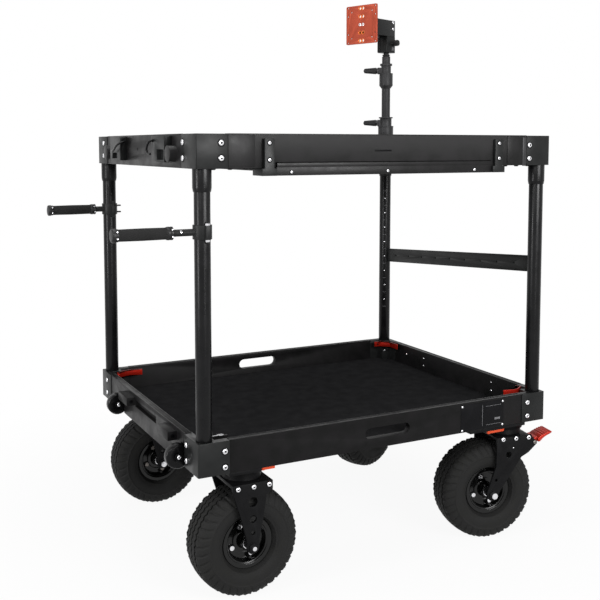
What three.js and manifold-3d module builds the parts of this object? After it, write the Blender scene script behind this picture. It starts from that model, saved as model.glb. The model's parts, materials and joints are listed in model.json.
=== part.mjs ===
// Camera cart with two trays on four posts, four pneumatic casters, push handles and a monitor mast.
// Lengths in millimetres, +Z up, long front along X, depth along Y.
import * as THREE from 'three';
import { mergeVertices } from 'three/addons/utils/BufferGeometryUtils.js';
import Module from 'manifold-3d';

const wasm = await Module();
wasm.setup();

// Driving dimensions
const gap = 0.3;
const overrun = 4;
const quarter = Math.PI / 2;
const post = { spanX: 848, spanY: 666, r: 16.5, sides: 24, footRise: 5, headDrop: 6 };
const tray = {
  reach: 19.2, height: 68.8, wall: 16, floorTop: 58, floorBottom: 63, upperTop: 614,
  upperFloorTop: 54, upperFloorBottom: 59, carpet: 3,
};
const block = { reach: 20.7, armX: 68, armY: 80, armT: 18, round: 3, roundSides: 3 };
const collar = { r: 19, drop: 37, taper: 8, lipR: 17.6 };
const slotFront = { width: 116, top: 22.8, bottom: 46.6 };
const slotBack = { width: 114, top: 13.6, bottom: 39.9 };
const slotLeft = { y0: 246, fromFar: 266, top: 13, bottom: 29, depth: 10 };
const latch = { reach: 40, top: 6.6, bottom: 25.7, near: [107, 175.6], fromFar: [265.6, 196] };
const roller = {
  x: -32, z: -47, r: 26, rim: 3, width: 20, boreR: 4.3, pinR: 4, headR: 8, headT: 3, near: 62, fromFar: 167,
  bracketT: 10, bracketTop: 34, bracketBottom: 60, bracketX: 43, pocket: 2, sides: 24,
};
const cover = { x0: 47.6, x1: 105.3, proud: 2, drop: 2, rise: 3.4 };
const bumper = { r: 17, face: 36, z: 574, near: 101.7, fromFar: 100, sides: 24 };
const hookBlock = {
  depth: 16.8, z0: 556, z1: 611, recessDepth: 10,
  fromFar: 229, near: 119, width: 85,
  farRecess: { ry0: 26, ry1: 66.6, rz0: 560.4, rz1: 574 },
  nearRecess: { ry0: 5.2, ry1: 49, rz0: 561, rz1: 583 },
  pivotR: 3.3, farPivot: [-28, 600], nearPivot: [73, 601], pivotDepth: 9,
};
const hook = {
  r: 2.5, sides: 8, steps: 14,
  farPath: [
    [0, 7, 0], [0, 2, 0], [0, -4, 0], [-4, -9, -1], [-12, -6, -4], [-16, 8, -11], [-16, 24, -18],
    [-15.5, 37, -22], [-15, 50, -23.5],
  ],
  nearPath: [
    [7, 0, 0], [2, 0, 0], [-4, 0, 0], [-9, 2, -3], [-11, 7, -11], [-10.5, 12, -19], [-9, 9, -26], [-8, -4, -28],
  ],
};
const bracket = {
  x0: 123.7, x1: 145, proud: 8.5, top: 605, footX0: 118, footX1: 151, footBottom: 530, footDepth: 20,
  runnerBottom: 539.6, runnerDepth: 400, flange: 14, flangeT: 2,
};
const shelf = {
  x0: 151.9, lipTop: 547.6, lipBottom: 530, lipT: 3.2, panelT: 3, depth: 388, cutTop: 557,
};
const crossBar = {
  height: 39, thick: 6, near: 36, nearZ: 306, fromFar: 33, farZ: 263, endLap: 40,
  holeR: 2.6, holes: 9, holeSides: 8,
};
const handle = {
  z: [421, 427], roots: [62.6, 38.5], clampR: 19.5, clampH: 28, tubeR: 7, coreLength: 112,
  gripR: 12.5, gripLength: 120, capR: 13.6, capLength: 7,
  lugX: 3, lugHalf: 5, lugY: 26, lugW: 13, boltR: 3, boltH: 42, sides: 20,
};
const wheel = {
  z: -236, r: 116.5, rimSides: 20, tyreSides: 32, boreR: 8.4, hubR: 16, hubHalf: 36, webHalf: 5,
  barrelIn: 44, barrelOut: 50.6, flangeR: 55, seatHalf: 28.4, flangeHalf: 32,
};
const tyreProfile = [
  [51, 28], [55.6, 28], [61, 38], [74, 45.4], [92, 45.4], [107, 40], [114.2, 29], [116.5, 10],
];
const fork = {
  half: 60, cheekT: 6, top: -100, plateT: 6.5, axleR: 8, nutR: 11, nutT: 5, mountTop: -68.8, adapterT: 7.2,
  raceR: 42, axleSides: 18, nutSides: 6, endSides: 6,
};
const rigid = {
  x: 101, y: 46, adapterX0: -54.4, adapterX1: 17.3, adapterFront: -65.2, adapterBack: 60, endR: 14,
  holes: [[-139.7, 10.5], [-176, 8.25], [-205, 4.5]], holeSides: 12,
  left: [[-12, -227], [-26, -173], [-45, -112], [-45, -100]],
  right: [[45, -100], [45, -119], [31, -128.6], [22.5, -182], [14, -222]],
};
const swivel = {
  fromRight: 54.4, y: 37, trail: 57, turnDegrees: { near: -11.3, far: 21 },
  adapterReach: 143.6, adapterOut: 18.4, adapterFront: -19.2, adapterBack: 100,
  raceTop: -76, raceSplit: -88, raceUpR: 44, raceDownR: 40, endR: 15, holes: [[40, -142, 7.5], [8, -201, 4]],
  holeSides: 12,
  left: [[-13, -226], [8, -168], [9, -100]],
  right: [[98, -100], [98, -97], [115, -120], [91.5, -141], [74, -150], [19, -228]],
  plateX0: 9, plateX1: 98,
};
const pedal = {
  pivot: [106, -117], barrelR: 7, barrelFar: -14, barrelSides: 12, thick: 7,
  inner: [[110, -108], [119, -118]], outer: [[138, -92], [154, -99]], far: -14, near: -60, rest: 8,
};
const lever = {
  knuckleR: 4, height: 7, thick: 4, sides: 12,
  places: [
    { name: 'left', x: 124, end: 0, y: -12, top: -69.2, length: 27 },
    { name: 'right', x: -141, end: 1, y: -13, top: -76.5, length: 45 },
  ],
};
const angle = { z0: -15, z1: -2, thick: 3, legX: 60, legY: 72, slotX: 50, slotR: 2.4, slotSides: 8 };
const mast = {
  corner: 'far_right',
  sleeveR: 22.5, sleeveTop: 649.5, neckR: 17.5, neckTop: 673, ringR: 21, ringTop: 676.4,
  boreDeep: 300, sides: 20,
  tubeR: 12.6, socketR: 20, socketLow: 770, tubeTop: 760.7, socketTop: 806, upperR: 14.5, upperTop: 829,
  flareR: 18, flareTop: 835, spigotBoreDeep: 640, spigotR: 8, coneR: 12.2, coneTop: 856,
  discR: 11.5, discZ: 859,
  discTop: 862, spigotTop: 902, bossZ: [659, 814], bossReach: 25, bossW: 16, bossH: 19, away: [-0.858, 0.5135],
};
const knob = { shankR: 4.5, shank: 4, length: 35, rootH: 19, tipH: 13, thick: 11, sides: 10 };
const head = {
  turn: 20, clampHalfE: 19, clampHalfT: 18, z0: 867, z1: 914.2, spigotClear: 8.4, armZ0: 914.5, armZ1: 961.5,
  armBack: -19, armFront: 106, slotDepth: 26, slotHalf: 8, pivotE: 98, pivotR: 4, knobR: 8.5, knobOut: 24,
  knobLength: 14, knobZ: 895, knobE: 8, wellZ: 905,
};
const plate = {
  face: 118, thick: 4, half: 56.5, halfZ: 55, z: 940, corner: 4, lugHalf: 7.6, lugZ: 10, holeR: 2.6, bigR: 4.4,
  patterns: [50, 37.5], midZs: [-46, -23, 0, 23, 46], midOff: 5.6, elongated: [50, 26],
  holeSides: 8, cornerSides: 3,
};

// Looks
const looks = {
  frame: { color: 0x2f2f30, roughness: 0.55, metalness: 0.4 },
  block: { color: 0x2a2a2b, roughness: 0.5, metalness: 0.4 },
  tube: { color: 0x1f1f20, roughness: 0.35, metalness: 0.6 },
  carpet: { color: 0x141414, roughness: 1, metalness: 0 },
  rubber: { color: 0x222222, roughness: 0.9, metalness: 0 },
  foam: { color: 0x2b2b2b, roughness: 0.95, metalness: 0 },
  rim: { color: 0x0c0c0c, roughness: 0.15, metalness: 0.5 },
  fork: { color: 0x262626, roughness: 0.5, metalness: 0.4 },
  red: { color: 0xb02a1a, roughness: 0.45, metalness: 0.5 },
  orange: { color: 0xd9481c, roughness: 0.4, metalness: 0.4 },
  plate: { color: 0xbf4a2f, roughness: 0.5, metalness: 0.4 },
  plastic: { color: 0x1a1a1a, roughness: 0.6, metalness: 0 },
};

// Geometry helpers
function toSolid(geometry) {
  geometry.deleteAttribute('normal');
  geometry.deleteAttribute('uv');
  const merged = mergeVertices(geometry);
  return new wasm.Manifold(new wasm.Mesh({
    numProp: 3,
    vertProperties: Float32Array.from(merged.attributes.position.array),
    triVerts: Uint32Array.from(merged.index.array),
  }));
}

function toGeometry(solid) {
  const mesh = solid.getMesh();
  const geometry = new THREE.BufferGeometry();
  const places = Float32Array.from(mesh.vertProperties);
  geometry.setAttribute('position', new THREE.BufferAttribute(places, mesh.numProp));
  geometry.setIndex(new THREE.BufferAttribute(Uint32Array.from(mesh.triVerts), 1));
  geometry.computeVertexNormals();
  return geometry;
}

const join = (...parts) => parts.map(toSolid).reduce((sum, part) => sum.add(part));
const cut = (body, ...tools) => tools.map(toSolid).reduce((left, tool) => left.subtract(tool), body);

function box(x0, x1, y0, y1, z0, z1) {
  const geometry = new THREE.BoxGeometry(x1 - x0, y1 - y0, z1 - z0);
  return geometry.translate((x0 + x1) / 2, (y0 + y1) / 2, (z0 + z1) / 2);
}

const turnTo = {
  x: (geometry) => geometry.rotateZ(-quarter),
  y: (geometry) => geometry,
  z: (geometry) => geometry.rotateX(quarter),
};

function revolve(profile, axis, at, sides) {
  const points = profile.map(([r, h]) => new THREE.Vector2(r, h));
  const geometry = turnTo[axis](new THREE.LatheGeometry(points, sides));
  return geometry.translate(...at);
}

function rod(r, from, to, axis, at, sides) {
  return revolve([[0, from], [r, from], [r, to], [0, to]], axis, at, sides);
}

// Prism of an outline: XY outline raised along Z, or XZ outline run along Y
function prism(outline, from, to, plane) {
  const shape = new THREE.Shape(outline.map(([a, b]) => new THREE.Vector2(a, b)));
  const geometry = new THREE.ExtrudeGeometry(shape, { depth: to - from, bevelEnabled: false });
  if (plane === 'xz') return geometry.rotateX(quarter).translate(0, to, 0);
  return geometry.translate(0, 0, from);
}

function arc(cx, cy, r, start, end, sides) {
  return Array.from({ length: sides + 1 }, (_, i) => {
    const angleNow = start + ((end - start) * i) / sides;
    return [cx + r * Math.cos(angleNow), cy + r * Math.sin(angleNow)];
  });
}

// Block between two four-cornered faces given as near and far outlines
function hexahedron(lower, upper) {
  const geometry = new THREE.BufferGeometry();
  geometry.setAttribute('position', new THREE.Float32BufferAttribute([...lower, ...upper].flat(), 3));
  const faces = [
    [0, 2, 1], [0, 3, 2], [4, 5, 6], [4, 6, 7], [0, 1, 5], [0, 5, 4],
    [1, 2, 6], [1, 6, 5], [2, 3, 7], [2, 7, 6], [3, 0, 4], [3, 4, 7],
  ];
  geometry.setIndex(faces.flat());
  return geometry;
}

function sweep(points, r, sides, steps) {
  const path = new THREE.CatmullRomCurve3(points.map((p) => new THREE.Vector3(...p)));
  const shape = new THREE.Shape(arc(0, 0, r, 0, quarter * 4 - (quarter * 4) / sides, sides - 1)
    .map(([a, b]) => new THREE.Vector2(a, b)));
  return new THREE.ExtrudeGeometry(shape, { steps, extrudePath: path, bevelEnabled: false });
}

const cart = new THREE.Group();
cart.name = 'camera_cart';

function piece(name, body, look, parent = cart) {
  const geometry = body.isBufferGeometry ? toGeometry(toSolid(body)) : toGeometry(body);
  const mesh = new THREE.Mesh(geometry, new THREE.MeshStandardMaterial(looks[look]));
  mesh.name = name;
  parent.add(mesh);
  return mesh;
}

// The four corners: which side of the span each lies on
const corners = [
  { name: 'near_left', i: 0, j: 0 },
  { name: 'near_right', i: 1, j: 0 },
  { name: 'far_left', i: 0, j: 1 },
  { name: 'far_right', i: 1, j: 1 },
];
const cornerAt = (c) => [c.i * post.spanX, c.j * post.spanY];
const inward = (c) => [1 - 2 * c.i, 1 - 2 * c.j];

// Outline of a corner block, grown by a clearance
function blockOutline(grow) {
  const out = block.reach + grow;
  const inX = block.armX - block.reach + grow;
  const inY = block.armY - block.reach + grow;
  const arm = block.armT - block.reach + grow;
  return [
    ...arc(-out + block.round, -out + block.round, block.round, 2 * quarter, 3 * quarter, block.roundSides),
    [inX, -out], [inX, arm], [out, arm], [out, out], [arm, out], [arm, inY], [-out, inY],
  ];
}

function placedOutline(c, grow) {
  const [px, py] = cornerAt(c);
  const [sx, sy] = inward(c);
  const points = blockOutline(grow).map(([a, b]) => [px + sx * a, py + sy * b]);
  return sx * sy > 0 ? points : points.reverse();
}

// Trays: a floor with four walls, cut where the corner blocks stand
function trayBody(top, floorTop, floorBottom) {
  const outX = post.spanX + tray.reach;
  const outY = post.spanY + tray.reach;
  const bottom = top - tray.height;
  const inset = tray.wall - tray.reach;
  const inX = post.spanX - inset;
  const inY = post.spanY - inset;
  let body = toSolid(box(-tray.reach, outX, -tray.reach, outY, bottom, top));
  body = cut(
    body,
    box(inset, inX, inset, inY, top - floorTop, top + overrun),
    box(inset, inX, inset, inY, bottom - overrun, top - floorBottom),
    ...corners.map((c) => prism(placedOutline(c, gap), bottom - overrun, top + overrun, 'xy')),
  );
  return body;
}

function wallSlot(x, width, top, bottom, y0, y1) {
  const r = (top - bottom) / 2;
  const mid = (top + bottom) / 2;
  const sides = 6;
  const half = width / 2 - r;
  const outline = [
    ...arc(x + half, mid, r, -quarter, quarter, sides),
    ...arc(x - half, mid, r, quarter, 3 * quarter, sides),
  ];
  return prism(outline, y0, y1, 'xz');
}

const wallIn = tray.wall - tray.reach;
const midX = post.spanX / 2;
const fromFarPost = (distance) => post.spanY - distance;
let lowerTray = trayBody(0, tray.floorTop, tray.floorBottom);
for (const [y0, y1] of [latch.near, latch.fromFar.map(fromFarPost)]) {
  lowerTray = lowerTray.add(toSolid(box(-latch.reach, -tray.reach + gap, y0, y1, -latch.bottom, -latch.top)));
}
lowerTray = cut(
  lowerTray,
  wallSlot(midX, slotFront.width, -slotFront.top, -slotFront.bottom, -tray.reach - overrun, wallIn + overrun),
  wallSlot(midX, slotBack.width, -slotBack.top, -slotBack.bottom,
    post.spanY - wallIn - overrun, post.spanY + tray.reach + overrun),
  box(-tray.reach - overrun, -tray.reach + slotLeft.depth, slotLeft.y0, fromFarPost(slotLeft.fromFar),
    -slotLeft.bottom, -slotLeft.top),
);
const rollerStarts = [roller.near, fromFarPost(roller.fromFar)];
for (const start of rollerStarts) {
  const end = start + roller.width;
  const clear = roller.pocket;
  const at = [roller.x, 0, roller.z];
  const pocketStart = start - clear - roller.headT;
  lowerTray = cut(lowerTray, rod(roller.r + clear, pocketStart, end + clear, 'y', at, roller.sides));
  const bracketSolid = join(
    box(-roller.bracketX, -tray.reach + gap, end + gap, end + gap + roller.bracketT,
      -roller.bracketBottom, -roller.bracketTop),
    rod(roller.pinR, start - gap - roller.headT, end + gap + roller.bracketT / 2, 'y', at, roller.sides / 2),
    rod(roller.headR, start - gap - roller.headT, start - gap, 'y', at, roller.sides / 2),
  );
  lowerTray = lowerTray.add(bracketSolid);
}
piece('lower_tray', lowerTray, 'frame');

const carpetBox = (top, floorTop) => box(
  wallIn + gap, post.spanX - wallIn - gap, wallIn + gap, post.spanY - wallIn - gap,
  top - floorTop, top - floorTop + tray.carpet,
);
const carpetCuts = (top) => corners.map((c) => prism(placedOutline(c, 2 * gap), top - tray.height, top, 'xy'));
piece('lower_carpet', cut(toSolid(carpetBox(0, tray.floorTop)), ...carpetCuts(0)), 'carpet');

const upperCarpet = cut(
  toSolid(carpetBox(tray.upperTop, tray.upperFloorTop)), ...carpetCuts(tray.upperTop),
);
piece('upper_carpet', upperCarpet, 'carpet');

let upperTray = trayBody(tray.upperTop, tray.upperFloorTop, tray.upperFloorBottom);
const coverBottom = tray.upperTop - tray.height + cover.rise;
for (const x0 of [cover.x0, post.spanX - cover.x1]) {
  const x1 = x0 + cover.x1 - cover.x0;
  upperTray = upperTray.add(toSolid(box(
    x0, x1, -tray.reach - cover.proud, -tray.reach + cover.drop, coverBottom, tray.upperTop - cover.drop,
  )));
}
for (const y of [bumper.near, fromFarPost(bumper.fromFar)]) {
  upperTray = upperTray.add(toSolid(
    rod(bumper.r, -bumper.face, -tray.reach + gap, 'x', [0, y, bumper.z], bumper.sides),
  ));
}
upperTray = cut(upperTray, box(
  bracket.footX1 + gap, post.spanX - bracket.footX1 - gap, -tray.reach - overrun, wallIn,
  tray.upperTop - tray.height - overrun, shelf.cutTop,
));
piece('upper_tray', upperTray, 'frame');

// Corner blocks, posts and the red angles inside the lower corners
for (const c of corners) {
  const [px, py] = cornerAt(c);
  const [sx, sy] = inward(c);
  const foot = -tray.height + post.footRise;
  const crown = tray.upperTop - post.headDrop;
  const bore = post.r + gap;
  piece(`lower_corner_${c.name}`, cut(
    toSolid(prism(placedOutline(c, 0), -tray.height, 0, 'xy')),
    rod(bore, foot, overrun, 'z', [px, py, 0], post.sides),
  ), 'block');
  const upperBottom = tray.upperTop - tray.height;
  const sleeve = revolve([
    [0, upperBottom - collar.drop - collar.taper], [collar.lipR, upperBottom - collar.drop - collar.taper],
    [collar.r, upperBottom - collar.drop], [collar.r, upperBottom + overrun], [0, upperBottom + overrun],
  ], 'z', [px, py, 0], post.sides);
  const mastBore = c.name === mast.corner
    ? [rod(mast.tubeR + gap, mast.boreDeep, tray.upperTop + overrun, 'z', [px, py, 0], mast.sides)]
    : [];
  piece(`upper_corner_${c.name}`, cut(
    join(prism(placedOutline(c, 0), upperBottom, tray.upperTop, 'xy'), sleeve),
    rod(bore, upperBottom - collar.drop - collar.taper - overrun, crown, 'z', [px, py, 0], post.sides),
    ...mastBore,
  ), 'block');
  piece(`post_${c.name}`, cut(
    toSolid(rod(post.r, foot, crown, 'z', [px, py, 0], post.sides)), ...mastBore,
  ), 'tube');
  const offX = block.armT - block.reach + gap;
  const offY = block.reach + gap;
  const legs = [
    [offX, offY], [angle.legX, offY], [angle.legX, offY + angle.thick], [offX + angle.thick, offY + angle.thick],
    [offX + angle.thick, angle.legY], [offX, angle.legY],
  ].map(([a, b]) => [px + sx * a, py + sy * b]);
  const outline = sx * sy > 0 ? legs : legs.reverse();
  const slotAt = [px + sx * angle.slotX, py, (angle.z0 + angle.z1) / 2];
  const reachY = [sy * (offY - overrun), sy * (offY + angle.thick + overrun)].sort((a, b) => a - b);
  piece(`post_angle_${c.name}`, cut(
    toSolid(prism(outline, angle.z0, angle.z1, 'xy')),
    rod(angle.slotR, ...reachY, 'y', slotAt, angle.slotSides),
  ), 'red');
}

// Side rollers on their pins
for (const [index, start] of rollerStarts.entries()) {
  const end = start + roller.width;
  const profile = [
    [roller.boreR, start], [roller.r - roller.rim, start], [roller.r, start + roller.rim],
    [roller.r, end - roller.rim], [roller.r - roller.rim, end], [roller.boreR, end], [roller.boreR, start],
  ];
  piece(`side_roller_${index ? 'far' : 'near'}`,
    revolve(profile, 'y', [roller.x, 0, roller.z], roller.sides), 'rubber');
}

// Hook blocks on the upper left face and their bent hooks
function hookBlockBody(start, recess) {
  const back = -tray.reach;
  const front = back - hookBlock.depth;
  return cut(
    toSolid(box(front, back, start + gap, start + hookBlock.width, hookBlock.z0, hookBlock.z1)),
    box(front - overrun, front + hookBlock.recessDepth, start + recess.ry0, start + recess.ry1,
      recess.rz0, recess.rz1),
  );
}
const farHookY = fromFarPost(hookBlock.fromFar);
const [farPivotX, farPivotZ] = hookBlock.farPivot;
const nearPivotY = hookBlock.near + hookBlock.nearPivot[0];
const nearPivotZ = hookBlock.nearPivot[1];
piece('hook_block_far', cut(hookBlockBody(farHookY, hookBlock.farRecess), rod(
  hookBlock.pivotR, farHookY - overrun, farHookY + hookBlock.pivotDepth, 'y',
  [farPivotX, 0, farPivotZ], hook.sides * 2,
)), 'block');
const blockFront = -tray.reach - hookBlock.depth;
piece('hook_block_near', cut(hookBlockBody(hookBlock.near, hookBlock.nearRecess), rod(
  hookBlock.pivotR, blockFront - overrun, blockFront + hookBlock.pivotDepth, 'x',
  [0, nearPivotY, nearPivotZ], hook.sides * 2,
)), 'block');
const shifted = (path, at) => path.map((p) => p.map((v, k) => v + at[k]));
piece('hook_far', sweep(shifted(hook.farPath, [farPivotX, farHookY, farPivotZ]),
  hook.r, hook.sides, hook.steps), 'tube');
piece('hook_near', sweep(shifted(hook.nearPath, [blockFront, nearPivotY, nearPivotZ]),
  hook.r, hook.sides, hook.steps), 'tube');

// Shelf brackets with runners, and the shelf that slides out at the front
for (const side of ['left', 'right']) {
  const mirror = side === 'left' ? (x) => x : (x) => post.spanX - x;
  const span = (a, b) => [mirror(a), mirror(b)].sort((p, q) => p - q);
  const front = -tray.reach - bracket.proud;
  piece(`shelf_bracket_${side}`, join(
    box(...span(bracket.x0, bracket.x1), front, -tray.reach - gap, bracket.footBottom, bracket.top),
    box(...span(bracket.footX0, bracket.footX1), front, bracket.footDepth, bracket.footBottom,
      tray.upperTop - tray.height - gap),
    box(...span(bracket.footX0, bracket.footX1), front, bracket.runnerDepth, bracket.runnerBottom,
      tray.upperTop - tray.height - gap),
    box(...span(bracket.footX1 - gap, bracket.footX1 + bracket.flange), -tray.reach, bracket.runnerDepth,
      bracket.runnerBottom, bracket.runnerBottom + bracket.flangeT),
  ), 'block');
}
const panelBottom = bracket.runnerBottom + bracket.flangeT + gap;
piece('pull_out_shelf', join(
  box(shelf.x0, post.spanX - shelf.x0, -tray.reach - gap, shelf.depth, panelBottom, panelBottom + shelf.panelT),
  box(shelf.x0, post.spanX - shelf.x0, -tray.reach - gap - shelf.lipT, -tray.reach - gap,
    shelf.lipBottom, shelf.lipTop),
), 'frame');

// Cross bar between the right posts, leaning toward the far end
{
  const farY = fromFarPost(crossBar.fromFar);
  const run = farY - crossBar.near;
  const fall = crossBar.farZ - crossBar.nearZ;
  const length = Math.hypot(run, fall) + 2 * crossBar.endLap;
  const half = length / 2;
  const midAt = [post.spanX, (crossBar.near + farY) / 2, (crossBar.nearZ + crossBar.farZ) / 2];
  const tilt = Math.atan2(fall, run);
  const halfT = crossBar.thick / 2;
  const halfH = crossBar.height / 2;
  const holeYs = Array.from({ length: crossBar.holes }, (_, i) => ((i + 0.5) / crossBar.holes - 0.5) * run);
  const lay = (geometry) => geometry.rotateX(tilt).translate(...midAt);
  const bar = cut(
    toSolid(lay(box(-halfT, halfT, -half, half, -halfH, halfH))),
    ...holeYs.map((y) => lay(rod(
      crossBar.holeR, -crossBar.thick, crossBar.thick, 'x', [0, y, 0], crossBar.holeSides,
    ))),
    ...[0, post.spanY].map((y) => rod(
      post.r + gap, 0, tray.upperTop - tray.height, 'z', [post.spanX, y, 0], post.sides,
    )),
    box(0, post.spanX + tray.reach, -crossBar.endLap, 0, 0, tray.upperTop),
    box(0, post.spanX + tray.reach, post.spanY, post.spanY + crossBar.endLap, 0, tray.upperTop),
  );
  piece('cross_bar', bar, 'block');
}

// Push handles: a clamp round the post, a tube and a foam grip
for (const [index, side] of ['near', 'far'].entries()) {
  const y = index * post.spanY;
  const z = handle.z[index];
  const halfH = handle.clampH / 2;
  const at = [0, y, z];
  const rootX = -handle.roots[index];
  const tipX = rootX - handle.coreLength;
  piece(`handle_arm_${side}`, cut(
    join(
      rod(handle.clampR, -halfH, halfH, 'z', at, post.sides),
      rod(handle.tubeR, tipX, -post.r - gap, 'x', at, handle.sides),
      box(handle.lugX - handle.lugHalf, handle.lugX + handle.lugHalf,
        y - handle.lugY, y - handle.lugY + handle.lugW, z - halfH, z + halfH),
      rod(handle.boltR, -handle.boltH / 2, handle.boltH / 2, 'z',
        [handle.lugX, y - handle.lugY + handle.lugW / 2, z], handle.sides / 2),
    ),
    rod(post.r + gap, -handle.clampH, handle.clampH, 'z', at, post.sides),
  ), 'block');
  const gripTip = rootX - handle.gripLength;
  const outline = [
    [0, gripTip], [handle.capR, gripTip], [handle.capR, gripTip + handle.capLength],
    [handle.gripR, gripTip + handle.capLength], [handle.gripR, rootX - handle.capLength],
    [handle.capR, rootX - handle.capLength], [handle.capR, rootX], [0, rootX],
  ];
  piece(`handle_grip_${side}`, cut(
    toSolid(revolve(outline, 'x', at, handle.sides)),
    rod(handle.tubeR + gap, tipX - gap, overrun + rootX, 'x', at, handle.sides),
  ), 'foam');
}

// Casters in a frame with the axle along Y and the wheel centre line at X = 0
const tyreOutline = [
  ...tyreProfile.map(([r, h]) => [r, -h]), ...tyreProfile.slice().reverse(),
  [tyreProfile[0][0], -tyreProfile[0][1]],
];
const rimOutline = [
  [wheel.boreR, -wheel.hubHalf], [wheel.hubR, -wheel.hubHalf], [wheel.hubR, -wheel.webHalf],
  [wheel.barrelIn, -wheel.webHalf], [wheel.barrelIn, -wheel.flangeHalf], [wheel.flangeR, -wheel.flangeHalf],
  [wheel.flangeR, -wheel.seatHalf], [wheel.barrelOut, -wheel.seatHalf], [wheel.barrelOut, wheel.seatHalf],
  [wheel.flangeR, wheel.seatHalf], [wheel.flangeR, wheel.flangeHalf], [wheel.barrelIn, wheel.flangeHalf],
  [wheel.barrelIn, wheel.webHalf], [wheel.hubR, wheel.webHalf], [wheel.hubR, wheel.hubHalf],
  [wheel.boreR, wheel.hubHalf], [wheel.boreR, -wheel.hubHalf],
];

function cheekPair(outline, thickness) {
  const inner = fork.half - thickness;
  return [prism(outline, -fork.half, -inner, 'xz'), prism(outline, inner, fork.half, 'xz')];
}

function axleParts() {
  const nutOut = fork.half + fork.nutT;
  const at = [0, 0, wheel.z];
  return [
    rod(fork.axleR, -fork.half, fork.half, 'y', at, fork.axleSides),
    rod(fork.nutR, -nutOut, -fork.half + gap, 'y', at, fork.nutSides),
    rod(fork.nutR, fork.half - gap, nutOut, 'y', at, fork.nutSides),
  ];
}

function cheekOutline(spec, endR) {
  return [...spec.right, ...arc(0, wheel.z, endR, 0, -2 * quarter, fork.endSides), ...spec.left].reverse();
}

function wheelPieces(name, parent) {
  piece(`rim_${name}`, revolve(rimOutline, 'y', [0, 0, wheel.z], wheel.rimSides), 'rim', parent);
  piece(`tyre_${name}`, revolve(tyreOutline, 'y', [0, 0, wheel.z], wheel.tyreSides), 'rubber', parent);
}

for (const side of ['near', 'far']) {
  const far = side === 'far';
  const caster = new THREE.Group();
  caster.position.set(rigid.x, far ? post.spanY - rigid.y : rigid.y, 0);
  cart.add(caster);
  const plateBottom = fork.top - fork.plateT;
  const adapterBottom = fork.mountTop - fork.adapterT;
  const ySpan = far ? [-rigid.adapterBack, -rigid.adapterFront] : [rigid.adapterFront, rigid.adapterBack];
  const throughY = [-fork.half - overrun, fork.half + overrun];
  piece(`fixed_fork_${side}_left`, cut(
    join(
      box(rigid.adapterX0, rigid.adapterX1, ...ySpan, adapterBottom, fork.mountTop),
      rod(fork.raceR, plateBottom, adapterBottom + gap, 'z', [0, 0, 0], post.sides),
      box(rigid.left[2][0], rigid.right[0][0], -fork.half, fork.half, plateBottom, fork.top),
      ...cheekPair(cheekOutline(rigid, rigid.endR), fork.cheekT),
      ...axleParts(),
    ),
    ...rigid.holes.map(([z, r]) => rod(r, ...throughY, 'y', [0, 0, z], rigid.holeSides)),
  ), 'fork', caster);
  wheelPieces(`${side}_left`, caster);
}

const swivelX = post.spanX - swivel.fromRight;
for (const side of ['near', 'far']) {
  const far = side === 'far';
  const axisY = far ? post.spanY - swivel.y : swivel.y;
  const mirrorY = far ? (y) => post.spanY - y : (y) => y;
  const adapterBottom = fork.mountTop - fork.adapterT;
  const yEnds = [mirrorY(swivel.adapterFront), mirrorY(swivel.adapterBack)].sort((a, b) => a - b);
  piece(`caster_mount_${side}_right`, join(
    box(swivelX - swivel.adapterReach, swivelX + swivel.adapterOut, ...yEnds, adapterBottom, fork.mountTop),
    rod(swivel.raceUpR, swivel.raceSplit, fork.mountTop, 'z', [swivelX, axisY, 0], post.sides),
  ), 'fork');
  const caster = new THREE.Group();
  const turn = THREE.MathUtils.degToRad(swivel.turnDegrees[side]);
  caster.position.set(swivelX - swivel.trail * Math.cos(turn), axisY - swivel.trail * Math.sin(turn), 0);
  caster.rotation.z = turn;
  cart.add(caster);
  const plateBottom = fork.top - fork.plateT;
  const throughY = [-fork.half - overrun, fork.half + overrun];
  piece(`swivel_fork_${side}_right`, cut(
    join(
      rod(swivel.raceDownR, plateBottom, swivel.raceSplit - gap, 'z', [swivel.trail, 0, 0], post.sides),
      box(swivel.plateX0, swivel.plateX1, -fork.half, fork.half, plateBottom, fork.top),
      ...cheekPair(cheekOutline(swivel, swivel.endR), fork.cheekT),
      ...axleParts(),
    ),
    ...swivel.holes.map(([x, z, r]) => rod(r, ...throughY, 'y', [x, 0, z], swivel.holeSides)),
  ), 'fork', caster);
  wheelPieces(`${side}_right`, caster);
  const [[inFarX, inFarZ], [inNearX, inNearZ]] = pedal.inner;
  const [[outFarX, outFarZ], [outNearX, outNearZ]] = pedal.outer;
  const topCorners = [
    [inNearX, pedal.near, inNearZ], [outNearX, pedal.near, outNearZ],
    [outFarX, pedal.far, outFarZ], [inFarX, pedal.far, inFarZ],
  ];
  const lowCorners = topCorners.map(([x, y, z]) => [x, y, z - pedal.thick]);
  const [pivotX, pivotZ] = pedal.pivot;
  const innerWall = -fork.half + fork.cheekT + gap;
  piece(`brake_pedal_${side}_right`, join(
    hexahedron(lowCorners, topCorners),
    rod(pedal.barrelR, innerWall, pedal.barrelFar, 'y', [pivotX, 0, pivotZ], pedal.barrelSides),
    hexahedron(
      [[pivotX, innerWall, pivotZ - pedal.thick], [inNearX + pedal.rest, innerWall, inNearZ - pedal.thick],
        [inNearX + pedal.rest, pedal.far, inFarZ - pedal.thick], [pivotX, pedal.far, pivotZ - pedal.thick]],
      [[pivotX, innerWall, pivotZ + pedal.thick], [inNearX + pedal.rest, innerWall, inNearZ],
        [inNearX + pedal.rest, pedal.far, inFarZ], [pivotX, pedal.far, pivotZ + pedal.thick]],
    ),
  ), 'red', caster);
}

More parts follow.
